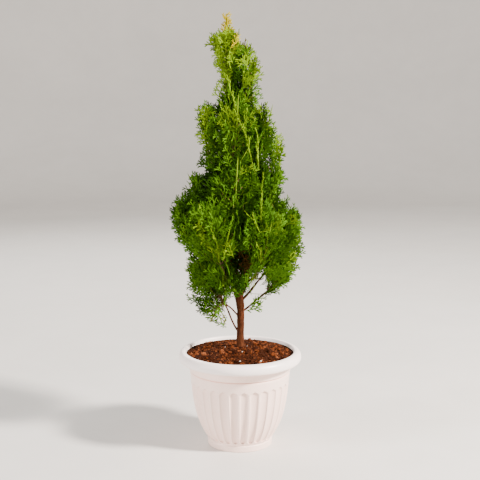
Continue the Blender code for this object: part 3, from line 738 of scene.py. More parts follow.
@dataclass(frozen=True)
class Bough:
    """One tapering limb from the trunk out to where it enters its mass of foliage."""

    name: str
    foot_height: float
    heading: float
    reach: float
    height: float
    foot_radius: float
    tip_radius: float
    rise: float = 38.0
    tip_rise: float = 52.0


@dataclass(frozen=True)
class Mass:
    """One mass of foliage: its stem starts on its carrier, and heading, reach and height place its tip."""

    name: str
    carrier: str
    foot_height: float
    heading: float
    reach: float
    height: float
    sprays: int
    tip_rise: float = 62.0
    longest: float = 0.084
    first: float = 0.20


TRUNK_STATIONS = (
    (0.1643, 0.0008, 0.000, 0.0080),
    (0.1680, 0.0008, 0.000, 0.0068),
    (0.1800, 0.0006, 0.000, 0.0060),
    (0.2000, 0.0010, 0.000, 0.0057),
    (0.2200, 0.0013, 0.000, 0.0060),
    (0.2360, 0.0004, 0.000, 0.0067),
    (0.2490, -0.0016, 0.000, 0.0071),
    (0.2650, -0.0080, 0.001, 0.0053),
    (0.3000, -0.0140, 0.003, 0.0045),
    (0.3800, -0.0180, 0.003, 0.0038),
    (0.4600, -0.0195, 0.002, 0.0030),
    (0.5200, -0.0200, 0.001, 0.0022),
    (0.5720, -0.0205, 0.000, 0.0015),
)
TRUNK_LINE = [Vector((x, y, height)) for height, x, y, _ in TRUNK_STATIONS]

BOUGHS = (
    Bough("bough_fork_right", 0.2450, 12, 0.0225, 0.300, 0.0031, 0.0023, 58, 62),
    Bough("bough_right_side", 0.2400, 343, 0.0430, 0.290, 0.0021, 0.0013, 38, 45),
    Bough("bough_right_low", 0.2220, 12, 0.0340, 0.246, 0.0017, 0.0011, 25, 35),
    Bough("bough_left_low", 0.1860, 188, 0.0250, 0.236, 0.0016, 0.0012, 45, 62),
    Bough("bough_left_inner", 0.2120, 210, 0.0290, 0.238, 0.0015, 0.0011, 40, 20),
    Bough("bough_left", 0.2740, 178, 0.0460, 0.308, 0.0024, 0.0015, 34, 46),
    Bough("bough_front_left", 0.2580, 238, 0.0390, 0.286, 0.0022, 0.0014, 30, 42),
    Bough("bough_front_right", 0.2600, 302, 0.0380, 0.286, 0.0022, 0.0014, 30, 42),
    Bough("bough_back_right", 0.2680, 62, 0.0400, 0.290, 0.0023, 0.0014, 28, 42),
    Bough("bough_back_left", 0.2600, 124, 0.0410, 0.290, 0.0022, 0.0014, 30, 42),
)

MASSES = (
    Mass("foliage_leader", "trunk", 0.0, 180, 0.0210, 0.703, 16, 89, 0.062, 0.03),
    Mass("foliage_left_drooping", "bough_left_inner", 0.0, 197, 0.0540, 0.204, 7, -50, 0.040, 0.15),
    Mass("foliage_left_low", "bough_left_low", 0.0, 184, 0.0900, 0.302, 13, 45, 0.084, 0.12),
    Mass("foliage_right_low", "bough_right_low", 0.0, 6, 0.0880, 0.288, 13, 40, 0.084, 0.12),
    Mass("foliage_left", "bough_left", 0.0, 180, 0.1050, 0.398, 13),
    Mass("foliage_front_left", "bough_front_left", 0.0, 240, 0.0980, 0.392, 13),
    Mass("foliage_front_right", "bough_front_right", 0.0, 301, 0.0980, 0.390, 13),
    Mass("foliage_right", "bough_right_side", 0.0, 357, 0.1010, 0.384, 13, 60),
    Mass("foliage_back_right", "bough_back_right", 0.0, 60, 0.0980, 0.396, 13),
    Mass("foliage_back_left", "bough_back_left", 0.0, 121, 0.0980, 0.394, 13),
    Mass("foliage_right_plume", "bough_fork_right", 0.0, 358, 0.0670, 0.500, 15, 84),
    Mass("foliage_left_middle", "trunk", 0.345, 178, 0.0880, 0.458, 14),
    Mass("foliage_front_middle", "trunk", 0.350, 268, 0.0780, 0.490, 14, 72),
    Mass("foliage_back_middle", "trunk", 0.360, 92, 0.0780, 0.490, 14, 72),
    Mass("foliage_left_high", "trunk", 0.440, 179, 0.0670, 0.566, 14, 74),
    Mass("foliage_front_high", "trunk", 0.455, 268, 0.0540, 0.585, 13, 78),
    Mass("foliage_right_high", "trunk", 0.425, 2, 0.0540, 0.568, 14, 78),
    Mass("foliage_back_high", "trunk", 0.465, 92, 0.0540, 0.588, 13, 78),
    Mass("foliage_right_top", "trunk", 0.535, 352, 0.0270, 0.650, 13, 80, 0.066),
)

# The crown's outline from the front: (height, left edge, right edge). It is round at every height.
CROWN_EDGES = (
    (0.198, -0.050, 0.014),
    (0.215, -0.052, 0.024),
    (0.232, -0.077, 0.032),
    (0.248, -0.085, 0.045),
    (0.259, -0.079, 0.066),
    (0.272, -0.082, 0.083),
    (0.286, -0.082, 0.084),
    (0.299, -0.086, 0.091),
    (0.312, -0.080, 0.097),
    (0.325, -0.088, 0.101),
    (0.342, -0.100, 0.098),
    (0.365, -0.105, 0.097),
    (0.388, -0.111, 0.096),
    (0.404, -0.103, 0.083),
    (0.418, -0.099, 0.072),
    (0.430, -0.082, 0.067),
    (0.443, -0.086, 0.070),
    (0.456, -0.066, 0.067),
    (0.468, -0.068, 0.063),
    (0.490, -0.057, 0.071),
    (0.507, -0.064, 0.066),
    (0.530, -0.066, 0.054),
    (0.557, -0.064, 0.041),
    (0.570, -0.045, 0.038),
    (0.585, -0.040, 0.029),
    (0.608, -0.034, 0.031),
    (0.625, -0.036, 0.030),
    (0.645, -0.044, 0.023),
    (0.660, -0.048, 0.013),
    (0.672, -0.042, 0.003),
    (0.682, -0.029, -0.010),
    (0.704, -0.024, -0.017),
)

# Bright sprays held edge-on over the crown's front: (distance right of the middle, height) up each one's rib.
SPINES = (
    ((0.020, 0.468), (0.011, 0.506), (0.000, 0.537), (-0.010, 0.566), (-0.018, 0.595), (-0.027, 0.612),
     (-0.034, 0.634)),
    ((0.029, 0.462), (0.028, 0.495), (0.026, 0.527)),
    ((0.014, 0.496), (0.008, 0.522), (0.011, 0.552)),
    ((0.032, 0.392), (0.034, 0.420), (0.036, 0.448)),
    ((0.030, 0.368), (0.023, 0.385), (0.011, 0.397)),
    ((-0.032, 0.318), (-0.035, 0.347), (-0.044, 0.376)),
    ((-0.026, 0.322), (-0.022, 0.345), (-0.017, 0.368)),
    ((0.031, 0.318), (0.032, 0.335), (0.026, 0.350)),
)


def direction(heading: float, rise: float) -> Vector:
    """Return the unit vector of a heading, raised by this many degrees."""
    turn, lift = math.radians(heading), math.radians(rise)
    return Vector((math.cos(lift) * math.cos(turn), math.cos(lift) * math.sin(turn), math.sin(lift)))


def place(heading: float, reach: float, height: float) -> Vector:
    """Return the point at this heading and reach from the pot's axis, at this height."""
    turn = math.radians(heading)
    return Vector((reach * math.cos(turn), reach * math.sin(turn), height))


def trunk_at(height: float) -> Vector:
    """Return the middle of the trunk at a height."""
    heights, xs, ys, _ = zip(*TRUNK_STATIONS)
    return Vector((np.interp(height, heights, xs), np.interp(height, heights, ys), height))


def crown_at(height: float) -> tuple[float, float]:
    """Return the middle and half the width of the crown at a height."""
    heights, lefts, rights = zip(*CROWN_EDGES)
    left, right = (float(np.interp(height, heights, edge)) for edge in (lefts, rights))
    return (left + right) / 2, (right - left) / 2


def outward(start: Vector, end: Vector) -> float:
    """Return the heading from one point to another, in degrees."""
    return math.degrees(math.atan2(end.y - start.y, end.x - start.x))


def route(start: Vector, start_way: Vector, end: Vector, end_way: Vector, steps: int) -> list[Vector]:
    """Return a smooth line that leaves start along start_way and arrives at end along end_way."""
    pull = (end - start).length * ROUTE_PULL
    return interpolate_bezier(start, start + start_way * pull, end - end_way * pull, end, steps)


def bough_route(bough: Bough, steps: int) -> list[Vector]:
    """Return the middle line of a bough, from inside the trunk to its tip."""
    start, end = trunk_at(bough.foot_height), place(bough.heading, bough.reach, bough.height)
    heading = outward(start, end)
    return route(start, direction(heading, bough.rise), end, direction(heading, bough.tip_rise), steps)


def stem_route(mass: Mass, steps: int) -> list[Vector]:
    """Lay out a mass's stem: it carries its bough or the trunk's tip on, or branches off the trunk's side.

    Args:
        mass: The mass.
        steps: How many points the line has.

    Returns:
        The stem's middle line, from its carrier to its tip.
    """
    tip = place(mass.heading, mass.reach, mass.height)
    if mass.foot_height:
        start = trunk_at(mass.foot_height)
        way = direction(outward(start, tip), 30.0)
    else:
        carrier = [bough_route(bough, 24) for bough in BOUGHS if bough.name == mass.carrier]
        last, start = carrier[0][-2:] if carrier else TRUNK_LINE[-2:]
        way = (start - last).normalized()
    return route(start, way, tip, direction(outward(start, tip), mass.tip_rise), steps)


def length_of(line: Line) -> float:
    """Return how long a line is."""
    return sum((after - before).length for before, after in zip(line, line[1:]))


def along_route(points: Line, share: float) -> tuple[Vector, Vector]:
    """Return the place and direction at a share of the way along a line of evenly spaced points."""
    at = min(share, 0.999) * (len(points) - 1)
    index = int(at)
    step = points[index + 1] - points[index]
    return points[index] + step * (at - index), step.normalized()


def square_to(side: Vector, along: Vector) -> Vector:
    """Return a direction turned square to another."""
    return (side - along * side.dot(along)).normalized()


def on_edge(along: Vector, roll: float) -> Vector:
    """Return the direction across a spray held on edge, turned about its rib by roll."""
    level = along.cross(UP)
    level = level.normalized() if level.length > 0.05 else Vector((1.0, 0.0, 0.0))
    return Quaternion(along, roll) @ level.cross(along).normalized()


@dataclass
class Limbs:
    """The trunk and its boughs, with stringy bark."""

    trunk_sides: int = 56
    bough_sides: int = 22
    trunk_step: float = 0.0013
    bough_steps: int = 40
    easing: int = 7
    depth: float = 0.00055
    foot_fade: float = 0.004
    bare_height: float = 0.3
    crown_share: float = 0.6
    bough_share: float = 0.5
    collar: float = 0.45
    strip_scale: Triple = (620.0, 620.0, 75.0)
    thread_scale: Triple = (1500.0, 1500.0, 160.0)
    knot_scale: float = 110.0

    def roughen(self, shape: Shape, depth: Callable[[Vector], float]) -> None:
        """Raise the bark's strips: long ridges that follow the limb, and a few low knots.

        Args:
            shape: The limb.
            depth: Gives the depth of the relief at a place.
        """
        shape.normal_update()
        moves = []
        for vertex in shape.verts:
            at = vertex.co
            strips = noise.noise(at * Vector(self.strip_scale))
            threads = noise.noise(at * Vector(self.thread_scale))
            knots = noise.noise(at * self.knot_scale)
            relief = abs(strips) * 1.5 + 0.45 * threads + 0.7 * knots - 0.35
            moves.append(vertex.normal * depth(at) * relief)
        for vertex, move in zip(shape.verts, moves):
            vertex.co += move

    def trunk_depth(self, at: Vector) -> float:
        """Return the depth of the trunk's relief at a place: none at its foot, and less inside the crown."""
        fade = min(1.0, max(0.0, (at.z - TRUNK_STATIONS[0][0]) / self.foot_fade))
        return self.depth * fade * (1.0 if at.z < self.bare_height else self.crown_share)

    def trunk(self) -> None:
        """Build the trunk from the soil to its tip inside the leader, its bends rounded off."""
        heights, *stations = (np.array(row) for row in zip(*TRUNK_STATIONS))
        levels = np.arange(heights[0], heights[-1], self.trunk_step)
        window = np.hanning(2 * self.easing + 1)
        window /= window.sum()
        xs, ys, radii = (np.convolve(np.pad(np.interp(levels, heights, row), self.easing, mode="edge"),
                                     window, mode="valid") for row in stations)
        radii[: self.easing] = np.interp(levels[: self.easing], heights, stations[2])
        shape = loft([Vector(point) for point in zip(xs, ys, levels)], radii, self.trunk_sides)
        self.roughen(shape, self.trunk_depth)
        finished("trunk_bark", mesh_of(shape), [BARK], ["trunk"])

    def boughs(self) -> None:
        """Build every bough, each with a collar where it leaves the trunk."""
        shape = bmesh.new()
        shares = np.linspace(0.0, 1.0, self.bough_steps)
        for bough in BOUGHS:
            sizes = bough.foot_radius + (bough.tip_radius - bough.foot_radius) * shares
            sizes = sizes * (1.0 + self.collar * np.exp(-shares * 9.0))
            limb = mesh_of(loft(bough_route(bough, self.bough_steps), sizes, self.bough_sides))
            shape.from_mesh(limb)
            bpy.data.meshes.remove(limb)
        self.roughen(shape, lambda at: self.bough_share * self.depth)
        finished("bough_bark", mesh_of(shape), [BARK], [bough.name for bough in BOUGHS])

    def build(self) -> None:
        """Build the trunk and the boughs."""
        self.trunk()
        self.boughs()


# ---------------------------------------------------------------- the crown's space


@dataclass(frozen=True)
class Opening:
    """A place in the crown that holds no foliage, as a box from one corner to the other."""

    low: Triple
    high: Triple

    def holds(self, places: np.ndarray) -> np.ndarray:
        """Tell which of these (number, 3) places lie in the opening."""
        return ((places > self.low) & (places < self.high)).all(axis=1)


# The dark hollow over the fork, the gap right of the fork and the bare foot of the trunk.
OPENINGS = (
    Opening((-0.016, -0.200, 0.300), (0.016, -0.045, 0.334)),
    Opening((0.014, -0.200, 0.252), (0.042, 0.200, 0.298)),
    Opening((-0.022, -0.200, 0.190), (0.020, 0.200, 0.262)),
)


@dataclass
class CrownSpace:
    """Who owns which part of the crown: every point belongs to the mass whose line is nearest.

    The crown's face dips by the groove between two masses, and the dip fades out over its span.
    """

    lines: Sequence[Line]
    limbs: Sequence[tuple[Line, Sequence[float]]]
    margin: float = -0.006
    depth: float = 0.94
    groove: float = 0.011
    groove_span: float = 0.020
    limb_gap: float = 0.0008

    def __post_init__(self) -> None:
        """Cut every line into stretches: the masses' first, then the limbs' with their radii."""
        lines = [*self.lines, *(line for line, _ in self.limbs)]
        counts = [len(line) - 1 for line in self.lines]
        self.firsts = [sum(counts[:number]) for number in range(len(counts))]
        self.mass_stretches = sum(counts)
        self.starts = rows(point for line in lines for point in line[:-1])
        self.steps = rows(point for line in lines for point in line[1:]) - self.starts
        self.radii = np.array([max(pair) for _, sizes in self.limbs for pair in zip(sizes, sizes[1:])])

    def distances(self, places: np.ndarray) -> tuple[np.ndarray, np.ndarray]:
        """Measure how far (number, 3) places are from each mass's line and from each stretch of the limbs."""
        offsets = places[:, None, :] - self.starts[None]
        shares = np.clip((offsets * self.steps).sum(axis=2) / (self.steps**2).sum(axis=1), 0.0, 1.0)
        gaps = np.linalg.norm(offsets - self.steps * shares[:, :, None], axis=2)
        masses = np.minimum.reduceat(gaps[:, : self.mass_stretches], self.firsts, axis=1)
        return masses, gaps[:, self.mass_stretches:]

    def owner(self, at: Vector) -> int:
        """Return the number of the mass whose line is nearest to a place."""
        return int(self.distances(rows([at]))[0].argmin())

    def lead(self, owner: int, places: np.ndarray) -> tuple[np.ndarray, np.ndarray]:
        """Measure how much nearer places are to their owner's line than to any other.

        Args:
            owner: The mass's number.
            places: (number, 3) places.

        Returns:
            Their leads, and how far they are from each stretch of the limbs.
        """
        nearest, limb_gaps = self.distances(places)
        own = nearest[:, owner].copy()
        nearest[:, owner] = np.inf
        return nearest.min(axis=1) - own, limb_gaps

    def holds(self, owner: int, places: np.ndarray, slack: float = 0.0) -> np.ndarray:
        """Tell which places lie in the crown, in the owner's space and clear of every limb.

        Args:
            owner: The mass's number.
            places: (anything, 3) places.
            slack: How far beyond the crown's face a place may be. Over 0, the dips between masses don't
                count.

        Returns:
            A flag for each place.
        """
        flat = places.reshape(-1, 3)
        x, y, z = flat.T
        heights, lefts, rights = zip(*CROWN_EDGES)
        left = np.interp(z, heights, lefts, left=1.0, right=1.0)
        right = np.interp(z, heights, rights, left=-1.0, right=-1.0)
        lead, limb_gaps = self.lead(owner, flat)
        dip = 0.0 if slack > 0.0 else self.groove * np.clip(1.0 - lead / self.groove_span, 0.0, 1.0)
        dip = np.where((z > 0.58) | (abs(x) < 0.022) & (z < 0.37), 0.25 * dip, dip)
        reach = (right - left) / 2 + slack - dip
        good = np.hypot(x - (left + right) / 2, y / self.depth) <= reach
        good &= (lead >= self.margin) & (limb_gaps - self.radii > self.limb_gap).all(axis=1)
        for opening in OPENINGS:
            good &= ~opening.holds(flat)
        return good.reshape(places.shape[:-1])


# ---------------------------------------------------------------- foliage, by the source's rule


@dataclass(frozen=True)
class Shoot:
    """One side shoot of a mass: where the source has one toothed blade, fronds stand along this rib."""

    root: Vector
    along: Vector
    across: Vector
    length: float
    bend: float = 0.0

    def at(self, share: float) -> Vector:
        """Return the place at a share of the rib, which bends up a little."""
        return self.root + (self.along + UP * (self.bend * share)) * (self.length * share)

    def way(self, share: float) -> Vector:
        """Return the rib's direction at a share of its length."""
        return (self.along + UP * (2.0 * self.bend * share)).normalized()

    def half_width(self, share: float) -> float:
        """Return half the shoot's width at a share of its length."""
        return 0.33 * self.length * math.sin(math.pi * share**0.8) ** 0.75

    def outline(self) -> list[Triple]:
        """Return the places that show how far it reaches: its tip and three pairs along its sides."""
        sides = [self.at(share) + self.across * (side * 0.85 * self.half_width(share))
                 for share in (0.35, 0.60, 0.85) for side in (-1, 1)]
        return [tuple(at) for at in (self.at(1.0), *sides)]


@dataclass(frozen=True)
class FrondSpot:
    """Where one frond goes."""

    root: Vector
    along: Vector
    across: Vector
    length: float
    tint: Tint
    bend: float = 0.0


# A cord's flat blunt blade with a low ridge, seven points and ten faces, as shares of its width and length.
SPINDLE = np.array([(0.0, -0.06, -0.3), (0.72, 0.10, -0.3), (1.0, 0.78, -0.3), (0.0, 1.0, -0.3),
                    (-1.0, 0.78, -0.3), (-0.72, 0.10, -0.3), (0.0, 0.60, 0.8)])
SPINDLE_FACES = np.array([*((side, (side + 1) % 6, 6) for side in range(6)),
                          (0, 5, 1), (1, 5, 4), (1, 4, 2), (2, 4, 3)])


@dataclass
class FrondTemplate:
    """One flat frond of scale-leaved cords: a rib, alternate side twigs and their side cords.

    In the frond's own frame x is across, y is along and z is off the plane.
    """

    length: float
    seed: int
    cord_half_width: float = 0.00090
    twig_spacing: float = 0.0041
    cord_spacing: float = 0.0044
    half_width: float = 0.36
    tip_share: float = 0.80

    def cords(self, rng: random.Random) -> list[tuple[float, float, float, float, float]]:
        """Lay out the cords.

        Args:
            rng: The seeded random numbers.

        Returns:
            The foot's x and y, the turn from the rib, the length and the width of each cord.
        """
        laid = [(0.0, 0.0, 0.0, self.length, 1.1)]
        count = max(4, round(self.length * 0.86 / self.twig_spacing))
        for index in range(count):
            share = 0.10 + 0.82 * (index + rng.uniform(-0.2, 0.2)) / count
            side = 1 if index % 2 else -1
            angle = side * math.radians(46.0 - 10.0 * share + rng.uniform(-5.0, 5.0))
            reach = self.half_width * self.length * math.sin(math.pi * share**0.75) ** 0.55
            size = max(reach / math.sin(abs(angle)) * rng.uniform(0.8, 1.15), 0.0050)
            laid.append((0.0, share * self.length, angle, size, 1.0))
            parts = int(size / self.cord_spacing)
            for step in range(1, parts):
                along = (step - 0.2) / parts
                turn = angle + (1 if step % 2 else -1) * math.radians(38.0 + rng.uniform(-7.0, 7.0))
                foot = (math.sin(angle) * size * along, share * self.length + math.cos(angle) * size * along)
                cord = (0.50 * size * (1.0 - along) + 0.0034) * rng.uniform(0.85, 1.15)
                laid.append((*foot, turn, cord, 0.95))
        return laid

    def __post_init__(self) -> None:
        """Turn the cords into points and triangles, and flag those near the frond's edge as its tips."""
        rng = random.Random(self.seed)
        points, triangles, tips = [], [], []
        for number, (x, y, angle, size, wide) in enumerate(self.cords(rng)):
            width = self.cord_half_width * wide * rng.uniform(0.9, 1.12)
            local = SPINDLE * (width, size, width * 0.8)
            local[:, 2] += rng.uniform(-0.0006, 0.0006)
            turn = np.array([[math.cos(angle), math.sin(angle)], [-math.sin(angle), math.cos(angle)]])
            local[:, :2] = local[:, :2] @ turn.T + (x, y)
            points.append(local)
            triangles.append(SPINDLE_FACES + len(SPINDLE) * number)
            outer = max(local[3, 1] / self.length, abs(local[3, 0]) / (self.half_width * self.length))
            tips.append(np.full(len(SPINDLE_FACES), outer > self.tip_share))
        self.points, self.triangles, self.tips = map(np.concatenate, (points, triangles, tips))


# A frond takes the first tint whose limit its score stays under, and lime over them all.
TINT_LIMITS = ((0.60, Tint.SHADE), (1.15, Tint.OLIVE), (1.85, Tint.GREEN), (2.50, Tint.FRESH))


@dataclass
class Growth:
    """One mass of foliage as it grows: its shoots, the fronds on them and the fine twigs that carry more."""

    number: int
    route: list[Vector]
    space: CrownSpace
    shoots_a_spray: float = 1.25
    tries: int = 14
    frond_spacing: float = 0.0090
    stem_end_share: float = 0.55
    shortest_share: float = 0.40
    spread: float = 2.0
    shortest_frond: float = 0.011
    frond_lengths: tuple[float, float] = (0.020, 0.050)
    fill_tries: int = 4200
    fill_gap: float = 0.0091
    fill_reach: float = 0.065
    fill_lengths: tuple[float, float] = (0.028, 0.044)
    bulk_slack: float = -0.0095
    fringe_tries: int = 12000
    fringe_gap: float = 0.0106
    fringe_slack: float = 0.0052
    fringe_feet: tuple[float, float] = (-0.020, -0.012)
    fringe_lengths: tuple[float, float] = (0.029, 0.041)
    golden_height: float = 0.664
    golden_ragged: float = 0.014
    gold_share: float = 0.12
    russet_share: float = 0.45
    # How far the painted shade down the crown's middle and along the crevices between masses reaches.
    middle_shade_width: float = 0.03
    crevice_shade_width: float = 0.016
    spire_sprays: int = 11
    shoots: list[Shoot] = field(default_factory=list)
    fronds: list[FrondSpot] = field(default_factory=list)
    twigs: list[list[Vector]] = field(default_factory=list)

    def __post_init__(self) -> None:
        """Grow the side shoots, because the fronds and the bright sprays start from them."""
        self.mass = MASSES[self.number]
        self.grow_shoots()

    def grow_shoots(self) -> None:
        """Grow the side shoots by turns of the golden angle, the best of several tries each.

        The shoot at the stem's end comes first.
        """
        mass, rng = self.mass, random.Random(self.mass.name)
        stem_end = 1.0 - self.stem_end_share * min(mass.longest / length_of(self.route), 1.0)
        root, _ = along_route(self.route, stem_end)
        last = self.route[-1] - root
        across = on_edge(last.normalized(), rng.uniform(-0.5, 0.5))
        self.shoots.append(Shoot(root, last.normalized(), across, last.length))
        count = round(mass.sprays * self.shoots_a_spray)
        shrinks = 0.86 ** np.arange(6)
        for index in range(count):
            share = mass.first + (stem_end - mass.first) * index / count
            root, way = along_route(self.route, share)
            longest = mass.longest * (1.0 - 0.25 * share)
            tried = []
            for _ in range(self.tries):
                turn = GOLDEN_ANGLE * index + rng.uniform(-0.6, 0.6)
                lean = math.radians(rng.uniform(30.0, 75.0) * (1.0 - 0.35 * share))
                side = Quaternion(way, turn) @ way.orthogonal().normalized()
                along = way * math.cos(lean) + side * math.sin(lean) + UP * rng.uniform(0.1, 0.5)
                along.normalize()
                tried.append(Shoot(root, along, on_edge(along, rng.uniform(-1.5, 1.5)), longest, 0.12))
            outlines = [[replace(shoot, length=longest * shrink).outline() for shrink in shrinks]
                        for shoot in tried]
            fits = self.space.holds(self.number, np.array(outlines)).all(axis=2)
            best, most = None, 0.0
            for shoot, fit in zip(tried, fits):
                size = longest * shrinks[int(fit.argmax())] if fit.any() else 0.0
                if size < self.shortest_share * mass.longest:
                    continue
                fitted = replace(shoot, length=size)
                apart = min((fitted.at(0.6) - other.at(0.6)).length for other in self.shoots)
                if size + self.spread * apart > most:
                    best, most = fitted, size + self.spread * apart
            if best:
                self.shoots.append(best)

    def tint(self, at: Vector, rng: random.Random) -> Tint:
        """Choose a frond's colour from where it ends: painted shade makes it darker inside, between masses
        and down the middle of the lower crown, painted light makes it lighter to the right, and it is lighter
        outside and higher up.

        Args:
            at: The frond's tip.
            rng: The seeded random numbers.

        Returns:
            The tint.
        """
        middle, half = crown_at(at.z)
        out = math.hypot(at.x - middle, at.y) / max(half, 0.004)
        if at.z > self.golden_height + rng.uniform(-self.golden_ragged, self.golden_ragged):
            return Tint.GOLD if rng.random() < self.gold_share else Tint.LIME
        # Painted light and shade: the right side scores lighter as if lit from there; the inside, the lower
        # middle and the crevices between masses score darker as if shaded.
        middle_shade = max(0.0, 1.0 - abs(at.x) / self.middle_shade_width) if at.z < 0.50 else 0.0
        lead = float(self.space.lead(self.number, rows([at]))[0][0])
        crevice_shade = max(0.0, 1.0 - max(lead, 0.0) / self.crevice_shade_width)
        score = (1.5 * out + 1.5 * at.x + 6.0 * max(0.0, at.z - 0.46) - 0.3 * middle_shade - 0.5 * crevice_shade
                 + 0.8 * noise.noise(at * 24.0) + rng.gauss(0.0, 0.25))
        if out < 0.55 and at.z < 0.34 and abs(at.x) < 0.04:
            return Tint.RUSSET if rng.random() < self.russet_share else Tint.SHADE
        for limit, tint in TINT_LIMITS:
            if score < limit:
                return tint
        return Tint.LIME

    def add_frond(self, root: Vector, along: Vector, across: Vector, size: float, rng: random.Random,
                  slack: float = 0.0) -> FrondSpot | None:
        """Add a frond, shrunk until it fits in the mass's space.

        Args:
            root: The frond's foot.
            along: Its direction.
            across: The direction across it.
            size: The length wanted.
            rng: The seeded random numbers.
            slack: How far beyond the crown's face it may reach.

        Returns:
            The frond, or None where not even a short one fits.
        """
        lengths = np.array([size * shrink for shrink in (1.0, 0.84, 0.70, 0.55)])
        lengths = lengths[lengths > self.shortest_frond][:, None]
        if not len(lengths):
            return None
        bend = rng.uniform(-2.0, 3.5)
        start, way, wide = np.array(root), np.array(along), np.array(across)
        lift = bend * lengths**2 * np.cross(wide, way)
        middle, side = start + 0.6 * lengths * way + 0.36 * lift, 0.38 * lengths * wide
        corners = (start + lengths * way + lift, middle + side, middle - side)
        fits = self.space.holds(self.number, np.stack(corners, axis=1), slack).all(axis=1)
        if not fits.any():
            return None
        length = float(lengths[int(fits.argmax()), 0])
        frond = FrondSpot(root, along, across, length, self.tint(root + along * length, rng), bend)
        self.fronds.append(frond)
        return frond

    def grow_fronds(self) -> None:
        """Set fronds along each shoot, alternately to both sides, and one on its tip."""
        rng = random.Random(self.mass.name + " fronds")
        shortest, longest = self.frond_lengths
        for number, shoot in enumerate(self.shoots):
            count = max(3, int(shoot.length * 0.80 / self.frond_spacing))
            wanted = []
            for index in range(count):
                share = 0.12 + 0.76 * (index + rng.uniform(-0.2, 0.2)) / count
                side = 1 if (index + number) % 2 else -1
                angle = math.radians(rng.uniform(34.0, 50.0))
                way = shoot.way(share)
                normal = way.cross(shoot.across).normalized()
                across = (shoot.across * side + normal * rng.gauss(0.0, 0.35)).normalized()
                along = (way * math.cos(angle) + across * math.sin(angle)).normalized()
                flat = Quaternion(along, rng.gauss(0.0, 0.30)) @ square_to(across, along)
                size = 1.25 * shoot.half_width(share) / math.sin(angle) + 0.008
                size = min(max(size, shortest), longest) * rng.uniform(0.85, 1.15)
                wanted.append((share, along, flat, size))
            wanted.append((0.62, shoot.way(0.9), shoot.across, max(0.40 * shoot.length, 0.022)))
            for share, along, flat, size in wanted:
                self.add_frond(shoot.at(share), along, flat, size, rng)

    def gap_at(self, at: Vector, out: float) -> float:
        """Return how far apart the filling fronds stand: close at the top, wide at the foot and inside."""
        if at.z < 0.236:
            return self.fill_gap * (2.0 if at.x < -0.045 else 2.8)
        if at.z < 0.262:
            return self.fill_gap * 1.3
        if at.z > 0.55:
            return self.fill_gap * 0.8
        return self.fill_gap * (1.0 if out > 0.55 else 1.2)

    def fill(self) -> None:
        """Carry fine twigs with a frond each into the mass's empty places, wherever it has room for them."""
        rng = np.random.default_rng(self.number + 5)
        dice = random.Random(self.mass.name + " fill")
        line = rows(self.route)
        places = rng.uniform(line.min(axis=0) - 0.055, line.max(axis=0) + 0.055, (self.fill_tries * 4, 3))
        places = places[self.space.holds(self.number, places, -0.006)][: self.fill_tries]
        feet = [shoot.at(share) for shoot in self.shoots for share in (0.2, 0.4, 0.6, 0.8)] + self.route[3:21]
        feet_at = rows(feet)
        taken = [tuple(frond.root + frond.along * (0.55 * frond.length)) for frond in self.fronds]
        for spot in places:
            at = Vector(spot)
            middle, half = crown_at(at.z)
            radial = Vector((at.x - middle, at.y, 0.0))
            gap = self.gap_at(at, radial.length / half)
            if taken and np.linalg.norm(np.array(taken) - spot, axis=1).min() < gap:
                continue
            reach = np.linalg.norm(feet_at - spot, axis=1) + 0.6 * np.maximum(feet_at[:, 2] - spot[2], 0.0)
            nearest = int(reach.argmin())
            if reach[nearest] > self.fill_reach:
                continue
            foot = feet[nearest]
            radial.normalize()
            reached = (at - foot).normalized() if (at - foot).length > 0.004 else radial
            jitter = Vector([dice.gauss(0, 1) for _ in range(3)]) * 0.09
            rise = 1.0 + 0.6 * noise.noise(at * 21.0)
            along = (reached * 0.45 + radial * dice.uniform(0.30, 0.60) + UP * rise + jitter).normalized()
            roll = 1.9 * noise.noise(at * 17.0 + Vector((self.number, 0, 0))) + dice.gauss(0.0, 0.2)
            size = dice.uniform(*self.fill_lengths)
            root = at - along * (0.5 * size)
            frond = self.add_frond(root, along, on_edge(along, roll), size, dice, self.bulk_slack)
            if frond:
                taken.append(tuple(spot))
                bent = foot.lerp(root, 0.5) + along * -0.003
                self.twigs.append([foot, foot.lerp(bent, 0.6), bent.lerp(root, 0.4), root + along * 0.004])

    def fringe(self) -> None:
        """Stand loose sprays in the mass's face, apart from each other, to feather the crown's outline."""
        rng = np.random.default_rng(self.number + 50)
        dice = random.Random(self.mass.name + " fringe")
        line = rows(self.route)
        places = rng.uniform(line.min(axis=0) - 0.060, line.max(axis=0) + 0.060, (self.fringe_tries, 3))
        middles = np.array([crown_at(height) for height in places[:, 2]])
        out = np.hypot(places[:, 0] - middles[:, 0], places[:, 1] / self.space.depth) - middles[:, 1]
        places = places[(out > self.fringe_feet[0]) & (out < self.fringe_feet[1])]
        places = places[self.space.lead(self.number, places)[0] > 0.0] if len(places) else places
        taken: list[Vector] = []
        for at in map(Vector, places):
            if any((at - other).length < self.fringe_gap for other in taken):
                continue
            radial = Vector((at.x - crown_at(at.z)[0], at.y, 0.0)).normalized()
            rise = dice.uniform(0.55, 1.10) if at.z > 0.27 else dice.uniform(0.05, 0.60)
            jitter = Vector((dice.gauss(0, 0.15), dice.gauss(0, 0.15), 0.0))
            along = (radial + UP * rise + jitter).normalized()
            across = on_edge(along, dice.gauss(0.0, 0.45))
            if self.add_frond(at, along, across, dice.uniform(*self.fringe_lengths), dice, self.fringe_slack):
                taken.append(at)

